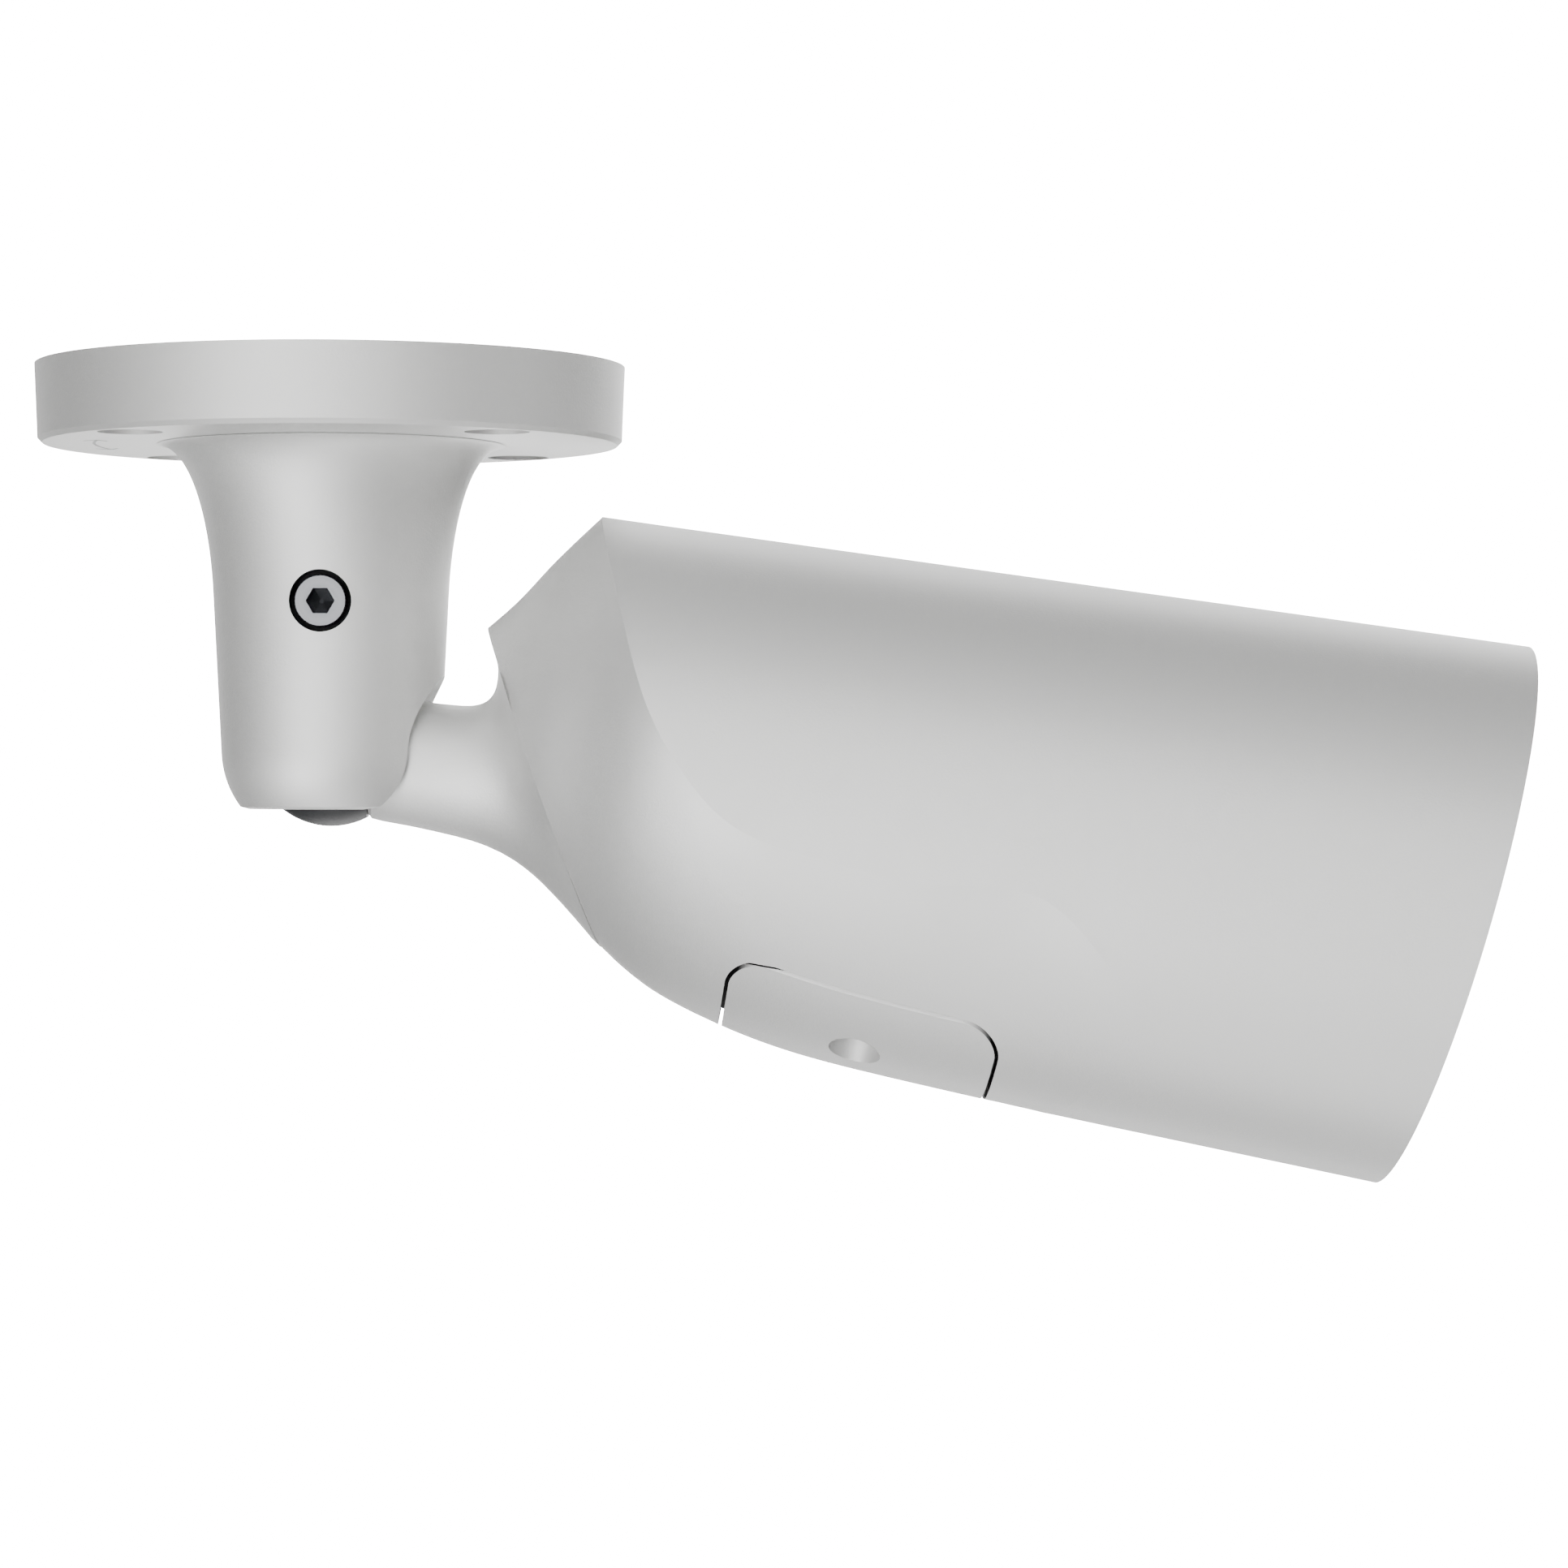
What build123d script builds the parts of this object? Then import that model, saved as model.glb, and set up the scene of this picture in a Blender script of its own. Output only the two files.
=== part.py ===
from build123d import *
import math
import os

# Security camera on a ceiling bracket. The origin is the centre of the mounting face, +Z points up
# into the ceiling and the camera looks along +X. Lengths are in millimetres, angles in degrees.

# Ceiling base
BASE_R = 50.0
BASE_DRAFT_R = 49.5
BASE_H = 13.3
BASE_CHAMFER = 0.8
BASE_FLOOR = 3.3
BASE_WALL = 5.0
SCREW_CIRCLE_R = 42.5
SCREW_HOLE_R = 2.5
SCREW_BOSS_R = 7.0
SCREW_RECESS_R = 5.4
SCREW_RECESS_DEPTH = 5.6
SEAL_GROOVE_R = 47.4
SEAL_GROOVE_HALF = 0.9
SEAL_GROOVE_DEPTH = 1.0
RIB_COUNT = 8
RIB_T = 2.0
RIB_H = 6.0
HUB_R = 34.5
HUB_T = 1.6

# Post that pans in the base
POST_ROOT_R = 29.5
POST_TOP_R = 20.0
POST_TOP_Z = -38.4
POST_LOW_R = 18.6
POST_LOW_Z = -66.0
POST_END_Z = -75.25
POST_END_R = 15.4
POST_EDGE = (1.5, 0.4)
FLARE_OUT = 5.2
FLARE_DOWN = 13.8
SPIGOT_R = 26.4
SPIGOT_GAP = 0.3
SPIGOT_BORE_R = 18.0
BORE_R = 13.6
SLOT_R = 12.3
PAN_GAP = 0.1
PAN_RING_R = 32.5
PAN_RING_H = 2.6
PAN_WASHER_H = 0.6
PAN_SCREW_CIRCLE_R = 22.3
PAN_SCREW_COUNT = 3
PAN_SCREW_L = 9.0
PAN_TAP_DEPTH = 8.0

# Ball and clamp
BALL_Z = -64.9
BALL_R = 13.27
BALL_GAP = 0.3
BALL_FLAT = 8.1
STUD_R = 6.5
STUD_GAP = 0.05
STUD_END = 32.0
STUD_FACE_GAP = 0.1
STUD_WASHER_T = 0.8
NUT_H = 4.5
NUT_CLEAR = 0.5
CABLE_R = 4.0
CABLE_TURN = 40.0
CLAMP_TOP_Z = -35.5
CLAMP_LOW_Z = -56.0
CLAMP_CABLE_X = -4.5
CLAMP_CABLE_HALF = 5.0
CLAMP_TIP_GAP = 1.0
CLAMP_CHAMFER = 0.6
LOCK_Z = -40.5
LOCK_HEAD_R = 4.35
LOCK_HEAD_H = 3.5
LOCK_SHANK_R = 2.5
LOCK_FACE_Y = -19.3
LOCK_SINK_R = 5.15
LOCK_CLEAR = 0.25
LOCK_HEX = 4.0
LOCK_HEX_DEPTH = 2.4
LOCK_CHAMFER = 0.4
LOCK_TIP_Y = -3.0

# Camera head. Its own frame has x along the neck from the ball centre, z upwards
TILT = 9.94
TUBE_Z = 4.87
TUBE_HALF_ANGLE = 1.97
TUBE_REF_X = 118.0
TUBE_REF_R = 44.62
TUBE_START = 20.0
TUBE_OVER = 208.0
RIM_X = 192.4
RIM_LEAN = 6.1
WALL = 2.6
TOP_WALL_RATIO = 1.5
NECK_R = 10.6
NECK_END = BALL_FLAT + STUD_FACE_GAP
NECK_CHAMFER = 0.7
NECK_START = NECK_END + NECK_CHAMFER
NECK_MID = 14.0
NECK_SWELL = 0.15
NECK_BORE_END = 26.0
NUT_POCKET_R = 9.3
GROMMET_BACK = 8.0
GROMMET_L = 6.0
GROMMET_LIP_L = 3.0
GROMMET_LIP_R = 6.8
GROMMET_HOLE_R = 2.9
BEYOND = 200.0

# Stations of the boat-tail: distance from the ball, top, belly and half width
TAIL_STATIONS = (
    (18.0, 18.2, 12.4, 2.85),
    (23.0, 25.1, 5.6, 9.6),
    (31.0, 36.1, -5.3, 20.4),
    (38.8, 46.8, -16.0, 29.6),
    (43.4, 53.1, -19.5, 33.2),
    (48.7, 60.4, -23.55, 37.9),
    (54.2, 66.0, -27.45, 41.7),
    (60.3, 69.0, -30.8, 44.0),
    (66.4, 70.0, -33.05, 45.3),
    (76.4, 69.0, -35.7, 45.75),
    (89.7, 66.0, -37.8, 45.6),
    (106.0, 63.0, -38.95, 45.65),
    (122.0, 61.0, -39.75, 45.85),
    (138.0, 60.0, -41.0, 46.6),
    (154.0, 60.0, -42.5, 47.6),
)
TAIL_END = 142.0
CAVITY_START = 48.0

# Rear face, from its top corner to the belly, and the ovals that draw it in to the neck
REAR_TOP = (22.8, 24.8)
REAR_LOW = (51.0, -25.4)
NECK_OVALS = (
    ((24.6, 21.6), REAR_LOW, 22.6),
    ((25.35, 19.6), (48.2, -23.3), 20.0),
    ((25.85, 17.2), (45.0, -20.7), 17.6),
    ((25.85, 15.0), (41.5, -18.0), 15.6),
    ((25.3, 13.3), (38.0, -15.6), 14.0),
    ((24.0, 12.0), (34.0, -13.5), 12.7),
    ((21.8, 11.2), (29.0, -11.9), 11.7),
    ((18.0, 10.8), (21.0, -11.0), 10.95),
)

# Access cover in the belly
COVER_X0 = 73.6
COVER_X1 = 119.0
COVER_HALF_Y = 30.6
COVER_CORNER_R = 6.0
COVER_GAP = 0.6
COVER_SKIN = 2.4
COVER_LIP_W = 2.2
COVER_LIP_GAP = 0.5
COVER_WALL = 1.4
COVER_BELOW = -60.0
COVER_LAND_Z = -22.8
FRAME_Z0 = -22.5
FRAME_Z1 = -20.0
FRAME_MARGIN = 2.4
BAY_X0 = 82.0
BAY_X1 = 112.0
BAY_HALF_Y = 7.5
BAY_CORNER_R = 3.0
BAY_CLEAR = 0.5
RIDGE_W = 3.0
RIDGE_Z = -24.2
COVER_SCREW_X = 96.2
COVER_SCREW_Y = 17.0
COVER_SINK_R = 4.4
COVER_SINK_WALL = 1.2
COVER_SINK_Z = -31.0
COVER_SCREW_HEAD = (2.9, 2.4)
COVER_SCREW_L = 13.0
SEAL_GAP = 0.05
SEAL_IN = 1.0
BOSS_R = 3.6
BOSS_RISE = 3.0

# Front end
SEAT_X0 = 172.5
SEAT_X1 = 175.5
SEAT_R = 37.0
SEAT_LAP = 0.8
WINDOW_X0 = 177.0
WINDOW_X1 = 180.0
WINDOW_R = 40.5
WINDOW_CHAMFER = 0.3
WINDOW_SEAL_R = (40.2, 37.6)
WINDOW_SIDE_GAP = 0.3
RETAINER_X1 = 183.0
RETAINER_R = 43.8
RETAINER_IN_R = 38.8
RETAINER_SKIRT_R = 43.7
RETAINER_SCREW_HEAD = (1.45, 1.2)
RETAINER_SCREW_R = 42.3
RETAINER_SCREW_L = 9.5
MASK_X0 = 173.0
MASK_X1 = 175.0
MASK_R = 36.5
MASK_GAP = 0.6
MASK_COLLAR_T = 1.4
MASK_COLLAR_L = 3.0
MASK_PILLAR_R = 2.0
FUSE = 0.5
LED_CIRCLE_R = 25.5
LED_COUNT = 4
LED_HALF = 1.75
LED_H = 1.0
LED_DOME_R = 1.35
OPTIC_R = 6.0
OPTIC_GAP = 0.25
OPTIC_LIFT = 1.2
OPTIC_THROAT_R = (2.0, 3.0)
OPTIC_WAIST = (4.9, 4.2)
OPTIC_SHOULDER = 8.2
OPTIC_WELL = (1.7, 4.0)
OPTIC_FOOT = (0.6, 2.2, 2.9)
OPTIC_FOOT_H = 1.4
LED_BOARD_X0 = 164.0
BOARD_T = 1.6
LED_BOARD_R = (35.0, 15.5)
LED_SCREW_L = 5.0
PILLAR_CIRCLE_R = 31.0
PILLAR_START = 22.5
PILLAR_R = 2.4
LIGHT_CAN = (1.9, 1.2)
LIGHT_PIPE_R = 1.3
LIGHT_PIPE_SET = 0.3
LIGHT_HOLE_R = 1.7

# Lens and sensor
HOOD_R = 12.5
HOOD_X0 = 166.0
HOOD_X1 = 174.8
HOOD_LIP = 0.6
HOOD_DEPTH = 4.5
STEP_L = 2.0
BARREL_R = 10.5
THREAD_R = 8.5
THREAD_X0 = 139.0
THREAD_BORE_R = 5.5
REAR_CELL_L = 3.0
BARREL_BORE_R = (6.0, 7.0)
LENS_SEAT_R = 9.85
FRONT_LENS_R = 9.8
FRONT_LENS_DOME_R = 16.0
FRONT_LENS_T = 6.4
REAR_LENS_R = 5.45
REAR_LENS_DOME_R = 11.0
REAR_LENS_T = 3.0
HOLDER_X0 = 128.6
HOLDER_X1 = 147.0
HOLDER_HALF_Y = 17.0
HOLDER_HALF_Z = 13.13
HOLDER_NOTCH = (6.0, 12.5, 6.0)
HOLDER_LIGHT_R = 5.0
HOLDER_THREAD_X = 138.0
HOLDER_SCREW_X = 142.0
HOLDER_SCREW_Y = 13.5
HOLDER_SCREW_L = 6.5
HOLDER_TAP = 5.0
SENSOR_POCKET = (3.0, 8.0, 7.0)
SENSOR_SIZE = (1.6, 6.0, 5.0)
SENSOR_WINDOW = (1.3, 4.0, 3.0)
SENSOR_SCREW_Y = 14.0
SENSOR_SCREW_Z = 10.5
SENSOR_SCREW_L = 5.0
SENSOR_TAP = 4.0
SENSOR_BOARD_GAP = 0.3
FILTER_X0 = 133.4
FILTER_T = 2.0
FILTER_GLASS_T = 1.0
FILTER_GAP = 0.4
FILTER_PITCH = 10.0
FILTER_HALF_Z = 6.0
FILTER_R = 4.2

# Chassis and boards
TRAY_Z0 = TUBE_Z + HOLDER_HALF_Z
TRAY_T = 2.5
TRAY_HALF_Y = 24.0
CHASSIS_REAR_X = 66.0
CHASSIS_T = 2.5
CHASSIS_SCREW_L = 9.0
CHASSIS_FRONT_X = 158.0
CHASSIS_FRONT_R = 36.0
CHASSIS_HOLE_R = 14.0
CHASSIS_REAR_LOW = 5.0
WEB_IN = 2.0
WEB_L = 14.0
WEB_DROP = 8.0
WEB_HALF = 1.0
REAR_BOSS_Y = 16.0
REAR_BOSS_Z = 13.0
MAIN_X0 = 70.0
MAIN_X1 = 122.0
MAIN_HALF_Y = 24.0
MAIN_REAR_GAP = 1.5
STANDOFF_IN = 4.0
STANDOFF_R = 2.4
STANDOFF_SKIN = 0.6
BOARD_SCREW_L = 5.0
PROCESSOR = (92.0, 108.0, 8.0)
PROCESSOR_H = 2.0
MEMORY_X = (78.0, 88.0)
MEMORY_Y = (2.0, 14.0)
MEMORY_H = 1.2
NETWORK_CHIP = (94.0, 102.0, -18.0, -10.0)
NETWORK_H = 1.6
CORE_X = (104.0, 117.0)
CORE_HALF_Y = 7.0
CORE_H = 10.5
CORE_SLOT = (4.0, 9.0, 7.0)
CAN_X = 110.5
CAN_Y = 12.5
CAN_R = 4.0
CAN_H = 10.0
HEADER_X = (92.0, 100.0)
HEADER_Y = (-4.0, 16.0)
HEADER_H = 7.0
HEADER_WALL = 1.0
STANDOFF_H = 4.0

# Service bay behind the access cover
SERVICE_Z0 = -16.6
SERVICE_X0 = 79.0
SERVICE_X1 = 115.0
SERVICE_HALF_Y = 14.5
SERVICE_POST_IN = (2.5, 2.0)
SERVICE_POST_R = 2.3
SERVICE_SCREW_L = 4.5
SERVICE_TAP = 1.5
CARD_X0 = 85.0
CARD_L = 15.0
CARD_W = 11.0
CARD_T = 1.0
CARD_NOTCH = (5.0, 1.3)
SOCKET_X0 = 87.0
SOCKET_END = 1.5
SOCKET_SIDE = 1.4
SOCKET_H = 2.0
SOCKET_SKIN = 0.3
BUTTON_X = 106.0
BUTTON_Y = -4.0
SWITCH_HALF = 3.0
SWITCH_H = 2.6
SWITCH_WELL = (1.8, 0.8)
CAP_R = 2.4
CAP_Z = (5.2, 3.6)
CAP_CHAMFER = 0.3
STEM_R = 1.5
STEM_Z = (4.0, 1.8)
STATUS_Y = 4.0
STATUS_HALF = (1.2, 0.8)
STATUS_H = 1.0
STATUS_DOME = (0.6, 1.5)

# Small screws: shank radius, radius and height of the head, radius of a clearance hole
M3_R = 1.5
M3_HEAD = (2.75, 2.0)
M3_CLEAR = 1.6
M2_R = 1.0
M2_HEAD = (1.9, 1.3)
M2_CLEAR = 1.1

HEAD = Pos(0, 0, BALL_Z) * Rot(0, TILT, 0)
LOW = (Align.CENTER, Align.CENTER, Align.MIN)


def upright(radius, z0, z1, x=0.0, y=0.0):
    """Round bar along Z between two heights."""
    return Pos(x, y, z0) * Cylinder(radius, z1 - z0, align=LOW)


def along_x(radius, x0, x1, y=0.0, z=0.0):
    """Round bar along the head's x axis."""
    return Pos(x0, y, z) * Rot(0, 90, 0) * Cylinder(radius, x1 - x0, align=LOW)


def ring_x(outer, inner, x0, x1, z=TUBE_Z):
    """Ring about the tube's axis."""
    return along_x(outer, x0, x1, z=z) - along_x(inner, x0 - 1, x1 + 1, z=z)


def block(x0, x1, y0, y1, z0, z1):
    """Block between two corners."""
    return Pos((x0 + x1) / 2, (y0 + y1) / 2, (z0 + z1) / 2) * Box(x1 - x0, y1 - y0, z1 - z0)


def on_circle(radius, count, start=0.0):
    """Points (y, z) spread on a circle about the tube's axis."""
    for k in range(count):
        turn = math.radians(start + 360.0 * k / count)
        yield radius * math.cos(turn), TUBE_Z + radius * math.sin(turn)


def spin(points):
    """Closed profile of (radius, height) points, turned about Z."""
    return revolve(Plane.XZ * make_face(Polyline(*points, close=True)), Axis.Z)


def turned_x(points, z=TUBE_Z):
    """Closed profile of (radius, x) points, turned about the tube's axis."""
    return Pos(0, 0, z) * Rot(0, 90, 0) * spin(points)


def plain_screw(head_r, head_h, shank_r, length):
    """Screw along Z with its head's top at z = 0 and the shank below."""
    low = -head_h - length
    return spin([(0, 0), (head_r, 0), (head_r, -head_h), (shank_r, -head_h), (shank_r, low), (0, low)])


# Ceiling base and what holds the post in it


def base_plate():
    rim = BASE_DRAFT_R - BASE_CHAMFER
    floor_z = -BASE_H + BASE_FLOOR
    hub_top = floor_z + RIB_H
    shell = spin([(0, 0), (BASE_R, 0), (BASE_DRAFT_R, -BASE_H + BASE_CHAMFER), (rim, -BASE_H), (0, -BASE_H)])
    shell -= upright(BASE_R - BASE_WALL, floor_z, 1)
    hub = upright(HUB_R + HUB_T, floor_z, hub_top) - upright(HUB_R, floor_z, hub_top)
    ribs = Part()
    for k in range(RIB_COUNT):
        rib = block(HUB_R + HUB_T / 2, BASE_R - BASE_WALL + 1, -RIB_T / 2, RIB_T / 2, floor_z, hub_top)
        ribs += Rot(0, 0, 360.0 * k / RIB_COUNT) * rib
    shell += hub
    shell += ribs
    for x, y in screw_places():
        shell += upright(SCREW_BOSS_R, floor_z, 0, x, y) & upright(BASE_R - 1, floor_z, 0)
    for x, y in screw_places():
        shell -= upright(SCREW_HOLE_R, -BASE_H - 1, 1, x, y)
        shell -= upright(SCREW_RECESS_R, -BASE_H - 1, -BASE_H + SCREW_RECESS_DEPTH, x, y)
    shell -= upright(SPIGOT_R + SPIGOT_GAP, -BASE_H - 1, 1)
    groove_in = SEAL_GROOVE_R - SEAL_GROOVE_HALF
    groove_out = SEAL_GROOVE_R + SEAL_GROOVE_HALF
    shell -= upright(groove_out, -SEAL_GROOVE_DEPTH, 1) - upright(groove_in, -SEAL_GROOVE_DEPTH, 1)
    return shell


def screw_places():
    for k in range(4):
        turn = math.radians(45 + 90 * k)
        yield SCREW_CIRCLE_R * math.cos(turn), SCREW_CIRCLE_R * math.sin(turn)


def base_seal():
    seal = upright(SEAL_GROOVE_R + SEAL_GROOVE_HALF, -SEAL_GROOVE_DEPTH, 0)
    return seal - upright(SEAL_GROOVE_R - SEAL_GROOVE_HALF, -SEAL_GROOVE_DEPTH - 1, 1)


def pan_levels():
    washer_z = -BASE_H + BASE_FLOOR + PAN_GAP
    ring_z = washer_z + PAN_WASHER_H
    return washer_z, ring_z


def pan_washer():
    z0, z1 = pan_levels()
    return upright(PAN_RING_R, z0, z1) - upright(SPIGOT_R + SPIGOT_GAP, z0 - 1, z1 + 1)


def pan_screw_places():
    for k in range(PAN_SCREW_COUNT):
        turn = math.radians(90 + 360.0 * k / PAN_SCREW_COUNT)
        yield PAN_SCREW_CIRCLE_R * math.cos(turn), PAN_SCREW_CIRCLE_R * math.sin(turn)


def pan_ring():
    z0 = pan_levels()[1]
    ring = upright(PAN_RING_R, z0, z0 + PAN_RING_H) - upright(SPIGOT_BORE_R, z0 - 1, z0 + PAN_RING_H + 1)
    for x, y in pan_screw_places():
        ring -= upright(M3_CLEAR, z0 - 1, z0 + PAN_RING_H + 1, x, y)
    return ring


def pan_screws():
    top = pan_levels()[1] + PAN_RING_H + M3_HEAD[1]
    return [Pos(x, y, top) * plain_screw(*M3_HEAD, M3_R, PAN_SCREW_L) for x, y in pan_screw_places()]


# Post, ball and clamp


def post():
    root_z = -BASE_H - PAN_GAP
    spigot_top = pan_levels()[1]
    slope = (POST_TOP_R - POST_LOW_R) / (POST_TOP_Z - POST_LOW_Z)
    flare = Bezier(
        (POST_ROOT_R, root_z),
        (POST_ROOT_R - FLARE_OUT, root_z),
        (POST_TOP_R + FLARE_DOWN * slope, POST_TOP_Z + FLARE_DOWN),
        (POST_TOP_R, POST_TOP_Z),
    )
    shank = Line((POST_TOP_R, POST_TOP_Z), (POST_LOW_R, POST_LOW_Z))
    edge = (POST_END_R, POST_END_Z + POST_EDGE[1])
    turn_in = TangentArc((POST_LOW_R, POST_LOW_Z), edge, tangent=(-slope, -1))
    close = Polyline(
        edge,
        (POST_END_R - POST_EDGE[0], POST_END_Z),
        (0, POST_END_Z),
        (0, spigot_top),
        (SPIGOT_R, spigot_top),
        (SPIGOT_R, root_z),
        (POST_ROOT_R, root_z),
    )
    outline = Plane.XZ * make_face([flare, shank, turn_in, close])
    body = revolve(outline, Axis.Z)
    body -= upright(BORE_R, BALL_Z, 1)
    body -= upright(SPIGOT_BORE_R, root_z, 1)
    body -= Pos(0, 0, BALL_Z) * Sphere(BALL_R + BALL_GAP)
    body -= upright(SLOT_R, POST_END_Z - 1, BALL_Z)
    body -= along_x(SLOT_R, 0, POST_ROOT_R, z=BALL_Z)
    body -= block(0, POST_ROOT_R, -SLOT_R, SLOT_R, POST_END_Z - 1, BALL_Z)
    body -= lock_bar(LOCK_SINK_R, LOCK_FACE_Y + LOCK_HEAD_H, -POST_ROOT_R)
    body -= lock_bar(LOCK_SHANK_R + LOCK_CLEAR, 0, -POST_ROOT_R)
    for x, y in pan_screw_places():
        body -= upright(M3_R, spigot_top - PAN_TAP_DEPTH, spigot_top + 1, x, y)
    return body


def lock_bar(radius, y0, y1):
    """Round bar along Y at the lock screw's height, from y0 out to y1."""
    return Pos(0, y0, LOCK_Z) * Rot(90, 0, 0) * Cylinder(radius, y0 - y1, align=LOW)


def pressure_piece():
    piece = upright(BORE_R - BALL_GAP, CLAMP_LOW_Z, CLAMP_TOP_Z)
    piece -= Pos(0, 0, BALL_Z) * Sphere(BALL_R + BALL_GAP)
    piece -= along_x(SLOT_R, 0, BORE_R + 1, z=BALL_Z)
    half = CLAMP_CABLE_HALF
    piece -= block(-BORE_R, CLAMP_CABLE_X, -half, half, CLAMP_LOW_Z - 1, CLAMP_TOP_Z + 1)
    piece -= lock_bar(LOCK_SHANK_R + STUD_GAP, LOCK_TIP_Y + CLAMP_TIP_GAP, -BORE_R)
    return chamfer(piece.edges().filter_by(GeomType.CIRCLE).group_by(Axis.Z)[-1], CLAMP_CHAMFER)


def lock_screw():
    length = LOCK_TIP_Y - LOCK_FACE_Y - LOCK_HEAD_H
    screw = plain_screw(LOCK_HEAD_R, LOCK_HEAD_H, LOCK_SHANK_R, length)
    rim = screw.edges().filter_by(GeomType.CIRCLE).group_by(Axis.Z)[-1]
    screw = chamfer(rim, LOCK_CHAMFER)
    screw -= Pos(0, 0, -LOCK_HEX_DEPTH) * extrude(RegularPolygon(LOCK_HEX / math.sqrt(3), 6), LOCK_HEAD_H)
    return Pos(0, LOCK_FACE_Y, LOCK_Z) * Rot(90, 0, 0) * screw


def ball_stud():
    ball = Sphere(BALL_R) - block(BALL_FLAT, 2 * BALL_R, -BALL_R, BALL_R, -BALL_R, BALL_R)
    ball += along_x(STUD_R, BALL_FLAT - 1, STUD_END)
    ball -= along_x(CABLE_R, 0, STUD_END + 1)
    ball -= Sphere(CABLE_R)
    ball -= Rot(0, -CABLE_TURN, 0) * upright(CABLE_R, 0, BALL_R + 1)
    return ball


def stud_washer():
    x0 = NECK_BORE_END + STUD_FACE_GAP
    washer = along_x(NUT_POCKET_R - NUT_CLEAR, x0, x0 + STUD_WASHER_T)
    return washer - along_x(STUD_R + STUD_GAP, x0 - 1, x0 + STUD_WASHER_T + 1)


def stud_nut():
    x0 = NECK_BORE_END + STUD_FACE_GAP + STUD_WASHER_T
    nut = Pos(x0, 0, 0) * Rot(0, 90, 0) * extrude(RegularPolygon(NUT_POCKET_R - NUT_CLEAR, 6), NUT_H)
    return nut - along_x(STUD_R + STUD_GAP, x0 - 1, x0 + NUT_H + 1)


# Outer form of the head


def tube_r(x):
    return TUBE_REF_R + (x - TUBE_REF_X) * math.tan(math.radians(TUBE_HALF_ANGLE))


def tube_cone(inset, x0, x1):
    """Tapered tube, drawn in by the wall thickness."""
    cone = Cone(tube_r(x0) - inset, tube_r(x1) - inset, x1 - x0, align=LOW)
    return Pos(x0, 0, TUBE_Z) * Rot(0, 90, 0) * cone


def oval(top, low, half_width):
    """Ellipse between a top and a low point on the middle plane."""
    rise = Vector(top[0] - low[0], 0, top[1] - low[1])
    half = rise.length / 2
    up = rise.normalized()
    centre = ((top[0] + low[0]) / 2, 0, (top[1] + low[1]) / 2)
    plane = Plane(origin=centre, x_dir=up, z_dir=(up.Z, 0, -up.X))
    return plane * Ellipse(half, half_width)


def boat_tail(inset, start):
    """Loft that draws the tube in at the rear and gives the belly line."""
    sections = []
    for x, top, low, half_width in TAIL_STATIONS:
        if x >= start:
            sections.append(oval((x, top - TOP_WALL_RATIO * inset), (x, low + inset), half_width - inset))
    return loft(sections)


def behind_rear_face():
    """Half space behind the leaning rear face."""
    lean = Vector(REAR_TOP[0] - REAR_LOW[0], 0, REAR_TOP[1] - REAR_LOW[1])
    plane = Plane(origin=(REAR_TOP[0], 0, REAR_TOP[1]), x_dir=(0, 1, 0), z_dir=(-lean.Z, 0, lean.X))
    return plane * Box(BEYOND, BEYOND, BEYOND, align=LOW)


def neck_form():
    """Neck that widens from its round end to the rear face."""
    sections = [oval(*each) for each in NECK_OVALS]
    mid_r = NECK_R + NECK_SWELL
    sections.append(oval((NECK_MID, mid_r), (NECK_MID, -mid_r), mid_r))
    sections.append(oval((NECK_START, NECK_R), (NECK_START, -NECK_R), NECK_R))
    end = Pos(NECK_END, 0, 0) * Rot(0, 90, 0) * Cone(NECK_R - NECK_CHAMFER, NECK_R, NECK_CHAMFER, align=LOW)
    return loft(sections) + end


def head_form():
    """Solid with the whole outer shape of the head."""
    form = tube_cone(0, TUBE_START, TAIL_END) & boat_tail(0, 0)
    form -= behind_rear_face()
    form += tube_cone(0, TAIL_END, TUBE_OVER)
    form += neck_form()
    beyond = Pos(RIM_X, 0, TUBE_Z) * Rot(0, RIM_LEAN, 0)
    return form - beyond * Box(BEYOND, BEYOND, BEYOND, align=(Align.MIN, Align.CENTER, Align.CENTER))


def cavity_form(inset):
    rear = tube_cone(inset, CAVITY_START, TAIL_END) & boat_tail(inset, CAVITY_START)
    return rear + tube_cone(inset, TAIL_END, TUBE_OVER + 1)


def cover_prism(grow, z0, z1):
    """Rounded rectangle of the access cover, grown all round, as an upright bar."""
    length = COVER_X1 - COVER_X0 + 2 * grow
    width = 2 * COVER_HALF_Y + 2 * grow
    outline = RectangleRounded(length, width, COVER_CORNER_R + grow)
    return Pos((COVER_X0 + COVER_X1) / 2, 0, z0) * extrude(outline, z1 - z0)


def bay_prism(grow, z0, z1):
    """Window in the bay's floor, grown all round."""
    outline = RectangleRounded(BAY_X1 - BAY_X0 + 2 * grow, 2 * BAY_HALF_Y + 2 * grow, BAY_CORNER_R + grow)
    return Pos((BAY_X0 + BAY_X1) / 2, 0, z0) * extrude(outline, z1 - z0)


def cover_screw_places():
    return [(COVER_SCREW_X, side * COVER_SCREW_Y) for side in (-1, 1)]


def service_posts():
    in_x, in_y = SERVICE_POST_IN
    for x in (SERVICE_X0 + in_x, SERVICE_X1 - in_x):
        for y in (in_y - SERVICE_HALF_Y, SERVICE_HALF_Y - in_y):
            yield x, y


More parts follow.
